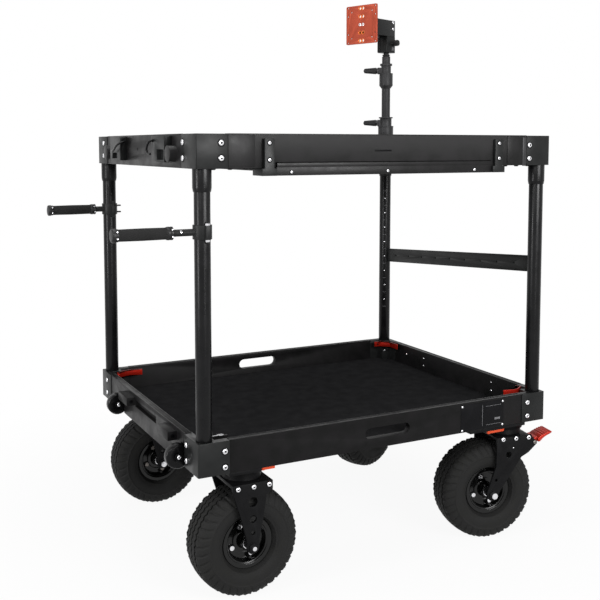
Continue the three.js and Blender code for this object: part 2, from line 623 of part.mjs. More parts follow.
// Lock levers at the two front casters
for (const spot of lever.places) {
  const bottom = spot.top - lever.height;
  const half = lever.thick / 2;
  const knuckleX = spot.end * post.spanX + spot.x;
  piece(`lock_lever_near_${spot.name}`, join(
    rod(lever.knuckleR, bottom, spot.top, 'z', [knuckleX, spot.y, 0], lever.sides),
    box(knuckleX, knuckleX + spot.length, spot.y - half, spot.y + half, bottom, spot.top),
  ), 'orange');
}

// Mast on the far right corner
const mastAt = [post.spanX, post.spanY, 0];
const [awayX, awayY] = mast.away;
const awayTurn = Math.atan2(awayY, awayX);

// Clamp boss that leans away from the mast axis
function boss(zMid) {
  const halfW = mast.bossW / 2;
  const halfH = mast.bossH / 2;
  return box(0, mast.bossReach, -halfW, halfW, zMid - halfH, zMid + halfH)
    .rotateZ(awayTurn).translate(...mastAt);
}

function wingKnob(zMid) {
  const start = mast.bossReach + gap;
  const root = start + knob.shank;
  const tip = root + knob.length;
  const halfT = knob.thick / 2;
  const [rootH, tipH] = [knob.rootH / 2, knob.tipH / 2];
  const shank = rod(knob.shankR, start, root + overrun, 'x', [0, 0, zMid], knob.sides);
  const outline = [[root, -rootH], [tip, -tipH], [tip + tipH / 2, 0], [tip, tipH], [root, rootH]];
  const wing = prism(outline, -halfT, halfT, 'xz')
    .translate(0, 0, zMid);
  return [shank, wing].map((g) => g.rotateZ(awayTurn).translate(...mastAt));
}

const [lowBossZ, highBossZ] = mast.bossZ;
piece('mast_sleeve', cut(
  join(revolve([
    [0, tray.upperTop], [mast.sleeveR, tray.upperTop], [mast.sleeveR, mast.sleeveTop],
    [mast.neckR, mast.sleeveTop], [mast.neckR, mast.neckTop], [mast.ringR, mast.neckTop],
    [mast.ringR, mast.ringTop], [0, mast.ringTop],
  ], 'z', mastAt, mast.sides), boss(lowBossZ)),
  rod(mast.tubeR + gap, tray.upperTop - overrun, mast.ringTop + overrun, 'z', mastAt, mast.sides),
), 'block');
piece('mast_knob_lower', join(...wingKnob(lowBossZ)), 'plastic');
piece('mast_tube', cut(
  join(revolve([
    [0, mast.boreDeep + gap], [mast.tubeR, mast.boreDeep + gap], [mast.tubeR, mast.tubeTop],
    [mast.socketR, mast.socketLow], [mast.socketR, mast.socketTop], [mast.upperR, mast.socketTop],
    [mast.upperR, mast.upperTop], [mast.flareR, mast.upperTop], [mast.flareR, mast.flareTop], [0, mast.flareTop],
  ], 'z', mastAt, mast.sides), boss(highBossZ)),
  rod(mast.spigotR + gap, mast.spigotBoreDeep, mast.flareTop + overrun, 'z', mastAt, mast.sides),
), 'tube');
piece('mast_knob_upper', join(...wingKnob(highBossZ)), 'plastic');
piece('mast_spigot', revolve([
  [0, mast.spigotBoreDeep + gap], [mast.spigotR, mast.spigotBoreDeep + gap], [mast.spigotR, mast.flareTop],
  [mast.coneR, mast.flareTop], [mast.coneR, mast.coneTop], [mast.spigotR, mast.discZ], [mast.discR, mast.discZ],
  [mast.discR, mast.discTop], [mast.spigotR, mast.discTop], [mast.spigotR, mast.spigotTop], [0, mast.spigotTop],
], 'z', mastAt, mast.sides), 'tube');

// Head: local X runs from the mast toward the plate, local Y to its side
const headGroup = new THREE.Group();
headGroup.position.set(post.spanX, post.spanY, 0);
headGroup.rotation.z = Math.PI + THREE.MathUtils.degToRad(head.turn);
cart.add(headGroup);
piece('head_clamp', cut(
  join(
    box(-head.clampHalfE, head.clampHalfE, -head.clampHalfT, head.clampHalfT, head.z0, head.z1),
    rod(head.knobR, head.clampHalfT, head.knobOut + head.knobLength, 'y',
      [-head.knobE, 0, head.knobZ], mast.sides),
  ),
  rod(head.spigotClear, head.z0 - overrun, head.wellZ, 'z', [0, 0, 0], mast.sides),
), 'block', headGroup);
piece('head_arm', cut(
  toSolid(box(head.armBack, head.armFront, -head.clampHalfT, head.clampHalfT, head.armZ0, head.armZ1)),
  box(head.armFront - head.slotDepth, head.armFront + overrun, -head.slotHalf, head.slotHalf,
    head.armZ0 - overrun, head.armZ1 + overrun),
), 'block', headGroup);

{
  const back = plate.face - plate.thick;
  const outline = [
    ...arc(plate.half - plate.corner, plate.halfZ - plate.corner, plate.corner, 0, quarter, plate.cornerSides),
    ...arc(-plate.half + plate.corner, plate.halfZ - plate.corner, plate.corner, quarter, 2 * quarter,
      plate.cornerSides),
    ...arc(-plate.half + plate.corner, -plate.halfZ + plate.corner, plate.corner, 2 * quarter, 3 * quarter,
      plate.cornerSides),
    ...arc(plate.half - plate.corner, -plate.halfZ + plate.corner, plate.corner, 3 * quarter, 4 * quarter,
      plate.cornerSides),
  ];
  const sheet = prism(outline, 0, plate.thick, 'xz').rotateZ(-quarter).translate(back, 0, plate.z);
  const through = [back - overrun, plate.face + overrun];
  const drill = (y, z, r) => rod(r, ...through, 'x', [0, y, plate.z + z], plate.holeSides);
  const signs = [[1, 1], [1, -1], [-1, 1], [-1, -1]];
  const [slotY, slotZ] = plate.elongated;
  const drills = [
    ...plate.patterns.flatMap((p) => signs.map(([a, b]) => drill(a * p, b * p, plate.holeR))),
    ...signs.map(([a, b]) => drill(a * slotY, b * slotZ, plate.holeR)),
    ...plate.midZs.filter((z) => z !== 0).flatMap((z) => [
      drill(-plate.midOff, z, plate.bigR), drill(plate.midOff, z, plate.bigR),
    ]),
  ];
  const lug = box(head.pivotE - plate.lugZ, back + gap, -plate.lugHalf, plate.lugHalf,
    plate.z - plate.lugZ, plate.z + plate.lugZ);
  piece('monitor_plate', cut(join(sheet, lug), ...drills), 'plate', headGroup);
}

// Rest on the ground plane with the origin below the middle of the bounding box
const bounds = new THREE.Box3().setFromObject(cart);
const centre = bounds.getCenter(new THREE.Vector3());
for (const child of cart.children) child.position.sub(new THREE.Vector3(centre.x, centre.y, bounds.min.z));

export default cart;
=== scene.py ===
"""Camera cart for film and camera grip gear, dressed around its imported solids.

Lengths in the classes are millimetres in the cart's own frame: x runs along the cart, y across it
and z up, from a point on the axis of the near left post, level with the lower tray's rim.
"""
import json
import logging
import math
from collections.abc import Callable, Sequence
from dataclasses import dataclass
from enum import Enum

import bpy
import numpy as np
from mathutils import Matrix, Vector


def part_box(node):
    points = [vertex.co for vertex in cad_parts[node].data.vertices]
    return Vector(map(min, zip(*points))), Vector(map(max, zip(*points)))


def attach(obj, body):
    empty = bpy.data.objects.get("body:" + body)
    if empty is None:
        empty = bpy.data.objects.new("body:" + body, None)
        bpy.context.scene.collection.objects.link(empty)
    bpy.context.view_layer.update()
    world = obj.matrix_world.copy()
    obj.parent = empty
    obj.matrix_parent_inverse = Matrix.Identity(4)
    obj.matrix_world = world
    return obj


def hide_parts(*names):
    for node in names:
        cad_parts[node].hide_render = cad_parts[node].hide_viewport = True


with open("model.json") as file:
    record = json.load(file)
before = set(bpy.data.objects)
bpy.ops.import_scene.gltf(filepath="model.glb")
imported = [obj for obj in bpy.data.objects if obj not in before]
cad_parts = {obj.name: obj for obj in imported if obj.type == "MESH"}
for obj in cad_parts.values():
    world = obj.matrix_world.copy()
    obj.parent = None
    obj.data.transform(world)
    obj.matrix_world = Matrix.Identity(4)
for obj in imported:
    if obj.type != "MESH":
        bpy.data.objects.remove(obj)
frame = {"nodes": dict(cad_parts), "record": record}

LOG = logging.getLogger("camera_cart")
Array = np.ndarray
Point = tuple[float, float, float]
Flat = tuple[float, float]
Line = tuple[Flat, ...]
Row = tuple[float, ...]
Ends = tuple[Point, Point]
# x and z of a box's low and high corner, how far it stands out of a face and reaches in, and its edge.
Panel = tuple[tuple[float, float, float, float], float, float, float]
Tree = bpy.types.NodeTree
Socket = bpy.types.NodeSocket

MM = 0.001
LEFT, RIGHT = (-1.0, 0.0, 0.0), (1.0, 0.0, 0.0)
NEAR, FAR = (0.0, -1.0, 0.0), (0.0, 1.0, 0.0)
DOWN, UP = (0.0, 0.0, -1.0), (0.0, 0.0, 1.0)
# The far right post's axis, as measured from the near left one.
SPAN = (848.0, 666.0)
# The mast's head is turned by this many degrees, so that its plate looks to the left.
HEAD_TURN = 200.0


def cart_origin() -> Array:
    """Find the cart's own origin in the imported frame.

    Returns:
        The near left post's axis at the height of the lower tray's rim, in metres.
    """
    low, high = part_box("post_near_left")
    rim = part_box("lower_tray")[1]
    return np.array(((low.x + high.x) / 2, (low.y + high.y) / 2, rim.z))


ORIGIN = cart_origin()


def unit(vector: Sequence[float]) -> Array:
    """Return the vector at length one."""
    made = np.asarray(vector, float)
    return made / np.linalg.norm(made)


def turned(points: Array, degrees: float) -> Array:
    """Turn points about the upright axis through zero, by degrees, anticlockwise from above."""
    c, s = math.cos(math.radians(degrees)), math.sin(math.radians(degrees))
    return points @ np.array(((c, s, 0), (-s, c, 0), (0, 0, 1)))


def eased(value: Array, start: float, end: float) -> Array:
    """Rise from 0 at start to 1 at end as 3t^2 - 2t^3."""
    t = np.clip((value - start) / (end - start), 0, 1)
    return t * t * (3 - 2 * t)


# ---------------- surfaces


@dataclass
class Shape:
    """A closed surface: points in millimetres, with its four-sided and three-sided faces."""

    points: Array
    quads: Array
    tris: Array

    def outward(self) -> "Shape":
        """Turn the faces so that they point out of the body that they enclose.

        The signed volume is the sum over all triangles of p . (q x r) / 6, and is negative where
        the faces point inwards.

        Returns:
            This shape, with its faces reversed where they pointed inwards.
        """
        fans = [self.quads[:, (0, 1, 2)], self.quads[:, (0, 2, 3)], self.tris]
        a, b, c = (self.points[np.concatenate(fans)[:, k]] for k in range(3))
        if np.einsum("ij,ij->i", a, np.cross(b, c)).sum() < 0:
            self.quads, self.tris = self.quads[:, ::-1], self.tris[:, ::-1]
        return self

    def standing(self, at: Point = (0, 0, 0), axis: Point = UP, side: Point = RIGHT) -> "Shape":
        """Carry a shape built around the z axis onto another axis.

        Args:
            at: Where the shape's zero goes.
            axis: Where the shape's z axis points.
            side: Roughly where the shape's x axis points.

        Returns:
            The carried shape.
        """
        z = unit(axis)
        helper = np.asarray(side, float)
        if abs(unit(helper) @ z) > 0.99:
            helper = np.array(FAR if abs(z[1]) < 0.9 else UP)
        x = unit(helper - (helper @ z) * z)
        return self.carried(lambda points: points @ np.array((x, np.cross(z, x), z)) + np.asarray(at, float))

    def carried(self, move: Callable[[Array], Array]) -> "Shape":
        """Return the shape with its points passed through a function."""
        return Shape(move(self.points), self.quads, self.tris)


def on_head(shape: Shape) -> Shape:
    """Carry a shape from the mast head's own frame, whose x points at the monitor plate."""
    return shape.carried(lambda points: turned(points, HEAD_TURN) + np.array((*SPAN, 0.0)))


def gathered(shapes: Sequence[Shape]) -> Shape:
    """Put several shapes into one, each keeping its own faces."""
    starts = np.cumsum([0] + [len(s.points) for s in shapes[:-1]])
    return Shape(
        np.concatenate([s.points for s in shapes]),
        np.concatenate([s.quads + n for s, n in zip(shapes, starts)]),
        np.concatenate([s.tris + n for s, n in zip(shapes, starts)]),
    )


def skin(rows: Array, looped: bool = False) -> Shape:
    """Join rings of points into a closed surface.

    Row i holds the points P(i, j) of one ring. Neighbouring rings are joined by four-sided faces,
    and unless the rings themselves close into a loop, a fan to the mean of the first and the last
    ring closes each end.

    Args:
        rows: The points, as rings by points per ring by three.
        looped: Whether the last ring joins the first.

    Returns:
        The closed surface with its faces outwards.
    """
    rings, steps = rows.shape[:2]
    index = np.arange(rings * steps).reshape(rings, steps)
    after = np.roll(index, -1, axis=1)
    last = rings if looped else rings - 1
    nxt, nxt_after = np.roll(index, -1, axis=0)[:last], np.roll(after, -1, axis=0)[:last]
    quads = np.stack((index[:last], after[:last], nxt_after, nxt), axis=-1).reshape(-1, 4)
    points = rows.reshape(-1, 3)
    tris = np.zeros((0, 3), int)
    if not looped:
        points = np.concatenate((points, rows[:1].mean(axis=1), rows[-1:].mean(axis=1)))
        low, high = rings * steps, rings * steps + 1
        tris = np.concatenate((
            np.stack((np.full(steps, low), after[0], index[0]), axis=-1),
            np.stack((np.full(steps, high), index[-1], after[-1]), axis=-1),
        ))
    return Shape(points, quads, tris).outward()


def around(steps: int, sides: int = 0) -> tuple[Array, Array]:
    """Angles once round, with the factor that turns a circle into a regular polygon.

    The factor is 1 for a circle, and cos(h) / cos(t) for a polygon of half angle h, where t is the
    angle from the middle of the nearest side.

    Args:
        steps: How many angles.
        sides: The polygon's sides, or 0 for a circle.

    Returns:
        The angles in radians, and the factors.
    """
    angle = np.linspace(0, 2 * math.pi, steps, endpoint=False)
    if not sides:
        return angle, np.ones(steps)
    half = math.pi / sides
    return angle, math.cos(half) / np.cos((angle + half) % (2 * half) - half)


def revolved(radius: Array, height: Array, looped: bool = False) -> Shape:
    """Turn rings about the z axis: P(t, i) = (r cos t, r sin t, h), with r and h of ring i at t.

    Args:
        radius: The radius by ring and angle.
        height: The height by ring and angle, or by ring alone.
        looped: Whether the last ring joins the first.

    Returns:
        The closed surface.
    """
    angle = around(radius.shape[1])[0]
    flat = (radius * np.cos(angle), radius * np.sin(angle))
    return skin(np.stack((*flat, np.broadcast_to(height, radius.shape)), axis=-1), looped)


def lathe(profile: Sequence[Flat], steps: int = 48, looped: bool = False, sides: Sequence[int] = ()) -> Shape:
    """Turn a profile of (radius, height), with r drawn in to a polygon's sides on the rings that have them.

    Args:
        profile: Radius and height of each ring.
        steps: Points per ring.
        looped: Whether the profile is a closed loop, as a hollow ring's is.
        sides: For each ring, its number of sides, or 0 where it is round.

    Returns:
        The closed surface.
    """
    r, h = np.asarray(profile, float).T
    factor = np.stack([around(steps, n)[1] for n in (sides or (0,) * len(r))])
    return revolved(r[:, None] * factor, h[:, None], looped)


def softened(profile: Sequence[Sequence[float]], size: float, steps: int = 3, looped: bool = False) -> Array:
    """Round each corner of a profile with a short parabola.

    A corner Q between its neighbours becomes the curve (1-t)^2 A + 2t(1-t) Q + t^2 B, with A and B
    on its two sides, size away or 0.45 of the side.

    Args:
        profile: The corner points in two or three coordinates.
        size: How far from the corner the rounding starts.
        steps: Points per rounded corner, less one.
        looped: Whether the profile is a closed loop.

    Returns:
        The profile with its rounded corners.
    """
    q = np.asarray(profile, float)
    before, after = np.roll(q, 1, axis=0) - q, np.roll(q, -1, axis=0) - q
    reach = [np.minimum(size, 0.45 * np.linalg.norm(d, axis=1)) for d in (before, after)]
    a, b = (q + d * (n / np.maximum(np.linalg.norm(d, axis=1), 1e-9))[:, None]
            for d, n in zip((before, after), reach))
    t = np.linspace(0, 1, steps + 1)[None, :, None]
    curve = (1 - t) ** 2 * a[:, None] + 2 * t * (1 - t) * q[:, None] + t ** 2 * b[:, None]
    if looped:
        return curve.reshape(-1, q.shape[1])
    return np.concatenate((q[:1], curve[1:-1].reshape(-1, q.shape[1]), q[-1:]))


def hollow(profile: Sequence[Flat], edge: float, steps: int, bend: int = 2) -> Shape:
    """Turn a closed loop of (radius, height), with its corners rounded from edge millimetres away."""
    return lathe(softened(profile, edge, bend, looped=True), steps, looped=True)


def rod(radius: float, low: float, high: float, steps: int) -> Shape:
    """Turn a round bar about the z axis between two heights, with its rims rounded."""
    return lathe(softened([(0.1, low), (radius, low), (radius, high), (0.1, high)], 0.6, 2), steps)


def flowing(points: Sequence[Sequence[float]], steps: int = 6) -> Array:
    """Run a smooth line through points.

    Between P1 and P2 it is the Catmull-Rom cubic, half of 2 P1 + (P2 - P0) t
    + (2 P0 - 5 P1 + 4 P2 - P3) t^2 + (3 P1 - P0 - 3 P2 + P3) t^3.

    Args:
        points: The points to pass through.
        steps: Points per stretch.

    Returns:
        The points of the smooth line.
    """
    q = np.asarray(points, float)
    q = np.concatenate((2 * q[:1] - q[1:2], q, 2 * q[-1:] - q[-2:-1]))
    p0, p1, p2, p3 = q[:-3, None], q[1:-2, None], q[2:-1, None], q[3:, None]
    t = np.linspace(0, 1, steps, endpoint=False)[None, :, None]
    bent = (2 * p0 - 5 * p1 + 4 * p2 - p3) * t ** 2 + (3 * p1 - p0 - 3 * p2 + p3) * t ** 3
    curve = (2 * p1 + (p2 - p0) * t + bent) / 2
    return np.concatenate((curve.reshape(-1, q.shape[1]), q[-2:-1]))


def slab(outline: Sequence[Flat], low: float, high: float, edge: float, steps: int = 3) -> Shape:
    """Raise a flat plate with rounded edges from an outline.

    Ring k lies inside the outline by edge (1 - sin t) and below its face by edge (1 - cos t), for t
    from 0 to a quarter turn at the foot and back at the top.

    Args:
        outline: The outline's corners in the plane, in order.
        low: Height of the foot.
        high: Height of the top.
        edge: Radius of the rounded edges.
        steps: Rings per rounded edge, less one.

    Returns:
        The closed plate.
    """
    q = np.asarray(outline, float)
    ahead, behind = np.roll(q, -1, axis=0) - q, q - np.roll(q, 1, axis=0)
    ahead, behind = (d / np.linalg.norm(d, axis=1)[:, None] for d in (ahead, behind))
    turn = np.sign(np.sum(q[:, 0] * np.roll(q[:, 1], -1) - np.roll(q[:, 0], -1) * q[:, 1]))
    normal = [np.stack((-d[:, 1], d[:, 0]), axis=-1) * turn for d in (ahead, behind)]
    inward = normal[0] + normal[1]
    inward /= np.maximum((inward * normal[0]).sum(axis=1), 0.3)[:, None]
    t = np.linspace(0, math.pi / 2, steps + 1)
    inset = edge * (1 - np.concatenate((np.sin(t), np.sin(t[::-1]))))
    height = np.concatenate((low + edge * (1 - np.cos(t)), high - edge * (1 - np.cos(t[::-1]))))
    flat = q[None] + inset[:, None, None] * inward[None]
    return skin(np.concatenate((flat, np.repeat(height[:, None, None], len(q), 1)), axis=-1))


def bar(low: Point, high: Point, edge: float = 0.5) -> Shape:
    """Make a bar between two corners of its box, with edges rounded at the radius edge."""
    corners = [(low[0], low[1]), (high[0], low[1]), (high[0], high[1]), (low[0], high[1])]
    return slab(softened(corners, 1.6 * edge, 3, looped=True), low[2], high[2], edge, 2)


def tube(path: Sequence[Point], radius: float, across: Point, steps: int = 16, bulge: float = 1.0) -> Shape:
    """Carry a circle along a path and close it with domed ends.

    At each point with tangent T, N = across - (across . T) T and M = T x N give the ring
    P + r (N cos a + M sin a). Beyond each end the radius falls as r sin t while the ring moves on
    by bulge r cos t.

    Args:
        path: The middle line.
        radius: The tube's radius.
        across: A direction that the path never runs along.
        steps: Points per ring.
        bulge: Height of the domed ends as a share of the radius.

    Returns:
        The closed tube.
    """
    line, across = np.asarray(path, float), np.asarray(across, float)
    tangent = np.gradient(line, axis=0)
    tangent /= np.linalg.norm(tangent, axis=1)[:, None]
    n = across - (tangent @ across)[:, None] * tangent
    n /= np.linalg.norm(n, axis=1)[:, None]
    t = np.linspace(0.2, math.pi / 2, 5)[:-1]
    reach = bulge * radius * np.cos(t)[:, None]
    line = np.concatenate((line[0] - reach * tangent[0], line, line[-1] + reach[::-1] * tangent[-1]))
    n, m = (np.pad(v, ((4, 4), (0, 0)), "edge") for v in (n, np.cross(tangent, n)))
    size = radius * np.concatenate((np.sin(t), np.ones(len(path)), np.sin(t[::-1])))
    angle = around(steps)[0]
    ring = np.cos(angle)[None, :, None] * n[:, None] + np.sin(angle)[None, :, None] * m[:, None]
    return skin(line[:, None] + size[:, None, None] * ring)


# ---------------- finishes


class Slot(Enum):
    """The record's material slots."""

    FRAME = "frame"
    BLOCK = "block"
    TUBE = "tube"
    CARPET = "carpet"
    TYRE = "tyre"
    RUBBER = "rubber"
    FOAM = "foam"
    RIM = "rim"
    FORK = "fork"
    RED = "red"
    ORANGE = "orange"
    PLATE = "plate"
    PLASTIC = "plastic"


def linear(colour: str) -> tuple[float, float, float, float]:
    """Turn an sRGB hex colour, written as #rrggbb, to linear light with an alpha of one."""
    parts = [int(colour[k:k + 2], 16) / 255 for k in (1, 3, 5)]
    return *(c / 12.92 if c <= 0.04045 else ((c + 0.055) / 1.055) ** 2.4 for c in parts), 1.0


def cleared(owner: bpy.types.Material | bpy.types.World) -> Tree:
    """Switch a new material or world to nodes.

    Args:
        owner: The material or the world.

    Returns:
        Its node tree, emptied.
    """
    owner.use_nodes = True
    owner.node_tree.nodes.clear()
    return owner.node_tree


def add(tree: Tree, kind: str, links: dict | None = None, **settings) -> bpy.types.Node:
    """Add a shader node with its settings and its links.

    Args:
        tree: The material's or the world's node tree.
        kind: The node type's name after ShaderNode.
        links: For each input's name or number, the socket that feeds it or the value it takes.
        settings: The node's own properties.

    Returns:
        The new node.
    """
    made = tree.nodes.new("ShaderNode" + kind)
    for name, value in settings.items():
        setattr(made, name, value)
    for socket, value in (links or {}).items():
        if isinstance(value, Socket):
            tree.links.new(value, made.inputs[socket])
        else:
            made.inputs[socket].default_value = value
    return made


def per_metre(size: float) -> float:
    """Return the texture scale at which a pattern repeats about every size millimetres."""
    return 1 / (size * MM)


def noise(tree: Tree, place: Socket, size: float, detail: float, **links: float) -> Socket:
    """Return the socket of noise from 0 to 1, with grains about size millimetres wide."""
    links = {"Vector": place, "Scale": per_metre(size), "Detail": detail, **links}
    return add(tree, "TexNoise", links).outputs["Fac"]


@dataclass(frozen=True)
class Finish:
    """A plain finish, from which each real one starts.

    The base colour wavers between two tones over the mottle's size, the roughness wavers with it,
    and the grain's height goes through a Bump node. Edges read as softened by the Bevel node.
    """

    name: str
    colour: str
    second: str
    slot: Slot | None = None
    metallic: float = 0.0
    roughness: float = 0.5
    specular: float = 0.5
    grain: float = 1.6
    depth: float = 0.05
    mottle: float = 30.0
    spread: float = 0.06
    edge: float = 0.0

    def height(self, tree: Tree, place: Socket) -> Socket:
        """Return the socket of the surface's height pattern, from 0 to 1."""
        return noise(tree, place, self.grain, 3.0, Roughness=0.6)

    def material(self) -> bpy.types.Material:
        """Make the material once, and return it again when it is asked for later.

        Returns:
            The finish's own material.
        """
        if self.name in bpy.data.materials:
            return bpy.data.materials[self.name]
        made = bpy.data.materials.new(self.name)
        tree = cleared(made)
        place = add(tree, "TexCoord").outputs["Object"]
        mottled = {"Value": noise(tree, place, self.mottle, 4.0), "From Min": 0.35, "From Max": 0.65}
        tone = add(tree, "MapRange", mottled).outputs[0]
        colour = add(tree, "Mix", {0: tone, 6: linear(self.colour), 7: linear(self.second)}, data_type="RGBA")
        rough = add(tree, "MapRange", {"Value": tone, "To Min": self.roughness - self.spread,
                                       "To Max": self.roughness + self.spread})
        bump = add(tree, "Bump", {"Height": self.height(tree, place), "Distance": self.depth * MM})
        if self.edge:
            soft = add(tree, "Bevel", {"Radius": self.edge * MM}, samples=4)
            tree.links.new(soft.outputs[0], bump.inputs["Normal"])
        shader = add(tree, "BsdfPrincipled", {
            "Base Color": colour.outputs[2], "Roughness": rough.outputs[0], "Normal": bump.outputs[0],
            "Metallic": self.metallic, "Specular IOR Level": self.specular,
        })
        add(tree, "OutputMaterial", {"Surface": shader.outputs[0]})
        return made


@dataclass(frozen=True)
class PowderCoat(Finish):
    """Powder coat on metal sheet or castings: matt, with a fine wrinkled grain that scatters light."""

    roughness: float = 0.4
    specular: float = 0.17
    grain: float = 1.4
    edge: float = 0.7


@dataclass(frozen=True)
class LinedMetal(Finish):
    """Metal with fine lines one way: noise that the stretch draws out along them."""

    line: float = 0.9
    stretch: Point = (1, 1, 1 / 40)

    def height(self, tree: Tree, place: Socket) -> Socket:
        """Return noise drawn out along the lines."""
        drawn = add(tree, "Mapping", {"Vector": place, "Scale": self.stretch})
        return noise(tree, drawn.outputs[0], self.line, 2.0)


@dataclass(frozen=True)
class DrawnTube(LinedMetal):
    """Black anodised tube: a dark metal sheen with faint lines along the way it was drawn."""

    metallic: float = 0.2
    roughness: float = 0.3
    specular: float = 0.18
    depth: float = 0.002


@dataclass(frozen=True)
class BrushedPlate(LinedMetal):
    """Colour-anodised plate: brushed one way before the dye, so gloss streaks across it."""

    metallic: float = 0.55
    roughness: float = 0.42
    depth: float = 0.012
    edge: float = 0.4
    line: float = 1.2
    stretch: Point = (1 / 30, 1 / 30, 1)


@dataclass(frozen=True)
class NeedleFelt(Finish):
    """Needled felt carpet: matted black fibres that lie in all directions and give no gloss."""

    roughness: float = 0.95
    specular: float = 0.0
    fibre: float = 3.0
    depth: float = 0.35
    turns: Flat = (0.4, 1.7)
    stretch: Point = (1, 1 / 5, 1)

    def height(self, tree: Tree, place: Socket) -> Socket:
        """Cross two layers of drawn-out noise, as matted fibres do, and take the higher at each place.

        Args:
            tree: The material's node tree.
            place: The socket of the place.

        Returns:
            The socket of the height, from 0 to 1.
        """
        laid = [add(tree, "Mapping", {"Vector": place, "Rotation": (0, 0, turn), "Scale": self.stretch})
                for turn in self.turns]
        layers = [noise(tree, way.outputs[0], self.fibre, 4.0, Distortion=0.8) for way in laid]
        return add(tree, "Math", {0: layers[0], 1: layers[1]}, operation="MAXIMUM").outputs[0]


@dataclass(frozen=True)
class MouldedRubber(Finish):
    """Moulded rubber: dull black with a fine pore, and a little grey bloom in patches."""

    roughness: float = 0.74
    specular: float = 0.2
    grain: float = 1.2
    depth: float = 0.08
    mottle: float = 45.0


@dataclass(frozen=True)
class CellFoam(Finish):
    """Closed-cell foam sleeve: matt, pitted by cells about a millimetre wide."""

    roughness: float = 0.92
    specular: float = 0.15
    cell: float = 1.5
    depth: float = 0.25

    def height(self, tree: Tree, place: Socket) -> Socket:
        """Return the distance to the nearest cell's middle."""
        return add(tree, "TexVoronoi", {"Vector": place, "Scale": per_metre(self.cell)}).outputs["Distance"]


# Fine-textured black powder coat over folded sheet: nearly no gloss, a warm grey where light grazes.
FRAME = PowderCoat("fine_textured_powder_coat", "#101010", "#141314", Slot.FRAME)
# The frame's coat with less gloss on the lower tray: a shaded copy, painted shade that keeps its sides dark
# over the white floor.
LOWER = PowderCoat("dull_textured_powder_coat", "#101010", "#141314", Slot.FRAME, specular=0.08)
# The corner castings carry the same coat, a shade paler, so that they stand out from the sheet.
BLOCK = PowderCoat("satin_cast_corner_coat", "#131414", "#171818", Slot.BLOCK)
# Anodised steel tube: the brightest black on the cart, with long reflections down each post.
TUBE = DrawnTube("black_anodised_tube", "#0e0e0f", "#111112", Slot.TUBE)
# Black needled felt, which swallows light from every side.
CARPET = NeedleFelt("black_needle_felt", "#232324", "#29292a", Slot.CARPET)
# Tyre rubber, greyer than the frame where the mould left it dull.
TYRE = MouldedRubber("moulded_tyre_rubber", "#121212", "#171716", Slot.TYRE)
# Softer rubber, with a little more gloss than the tyres.
RUBBER = MouldedRubber("moulded_bumper_rubber", "#131313", "#181818", Slot.RUBBER, roughness=0.65)
# Polished nylon discs of the side rollers: black with a clear highlight along the rim.
ROLLER = Finish("polished_nylon_roller", "#070708", "#0a0a0b", Slot.RUBBER, roughness=0.24, specular=0.14,
                grain=6.0, depth=0.02, spread=0.03)
# Foam sleeve of the handles, which shows as an even dark grey without a highlight.
FOAM = CellFoam("black_cell_foam", "#1d1d1d", "#232323", Slot.FOAM)
# Stove enamel on pressed steel rims: black glass with sharp highlights.
RIM = Finish("gloss_black_stove_enamel", "#040404", "#060606", Slot.RIM, roughness=0.16, specular=0.3,
             grain=9.0, depth=0.02, mottle=60, spread=0.04, edge=0.4)
# Electro-coated steel plate of the forks: satin, slightly pulled at laser-cut edges.
FORK = PowderCoat("satin_electro_coated_steel", "#0c0c0d", "#101011", Slot.FORK, roughness=0.42,
                  specular=0.08)
# Red anodised pedals: a deep red with metal under it.
RED = BrushedPlate("red_anodised_aluminium", "#b02818", "#9c2214", Slot.RED)
# The corner straps wear a darker copy of the pedals' red: painted shade of the tray's inner corners, where
# they sit.
DEEP = BrushedPlate("deep_red_anodised_angle", "#a01c0f", "#8c180c", Slot.RED, specular=0.15)
# The mast wears a paler, smoother coat than the posts.
MAST = DrawnTube("grey_satin_mast_tube", "#2b2b2c", "#303031", Slot.TUBE, roughness=0.45, specular=0.2)
# Orange powder coat of the lock levers, brighter than the anodised red.
ORANGE = PowderCoat("orange_powder_coat", "#c44218", "#b63a14", Slot.ORANGE, specular=0.3)
# The monitor plate, brushed and anodised a lighter, duller red.
PLATE = BrushedPlate("brick_red_anodised_plate", "#a8452d", "#9e3e26", Slot.PLATE)
# The plate's drilled holes, a brighter orange than the plate: painted highlight on their lit countersinks.
DYE = Finish("bright_orange_dyed_bore", "#e8802e", "#dd7024", metallic=0.3, roughness=0.35, grain=2.0,
             depth=0.01)
# Moulded glass-filled nylon of the knobs, a soft black with a broad, weak highlight.
PLASTIC = Finish("glass_filled_nylon", "#131314", "#181819", Slot.PLASTIC, roughness=0.4, specular=0.22,
                 grain=1.5, edge=0.6)
# Bright zinc on screw heads: clean metal with a slightly cloudy gloss.
ZINC = Finish("bright_zinc_plated_steel", "#e4e4e6", "#cfcfd2", metallic=1.0, roughness=0.26, grain=2.0,
              depth=0.01, mottle=5.0, spread=0.08)
# Dull grey zinc on the pedals' rivets and on one wheel's bolts; on that wheel's bolts the dull grey is
# painted shade.
DULL = Finish("dull_zinc_plated_steel", "#6e6965", "#7a7571", metallic=0.7, grain=2.0, depth=0.01)
# Near-black, nearly without light of its own. On the rim washers, the axle spacers and the underside bolts it
# is their own dark steel; in the screws' clearance rings, the blind holes, the strap's hole and the upper
# rail's slot it is painted shade.
BLACKENED = Finish("blackened_steel", "#050506", "#080809", specular=0.06, grain=1.5, depth=0.02)
# Satin label stock, left bare: smoother than the coat around it.
LABEL = Finish("satin_label_stock", "#08080a", "#0b0b0d", roughness=0.45, specular=0.08, grain=4.0,
               depth=0.008)
# Grey screen print on the label and the post's scale: flat ink with a dry edge.
INK = Finish("grey_screen_print", "#6c6c6e", "#5c5c5e", roughness=0.6, specular=0.2, grain=0.8, depth=0.01,
             mottle=3.0)

FINISHES = {f.slot: f for f in (FRAME, BLOCK, TUBE, CARPET, TYRE, RUBBER, FOAM, RIM, FORK, RED, ORANGE,
                                PLATE, PLASTIC)}


# ---------------- pieces


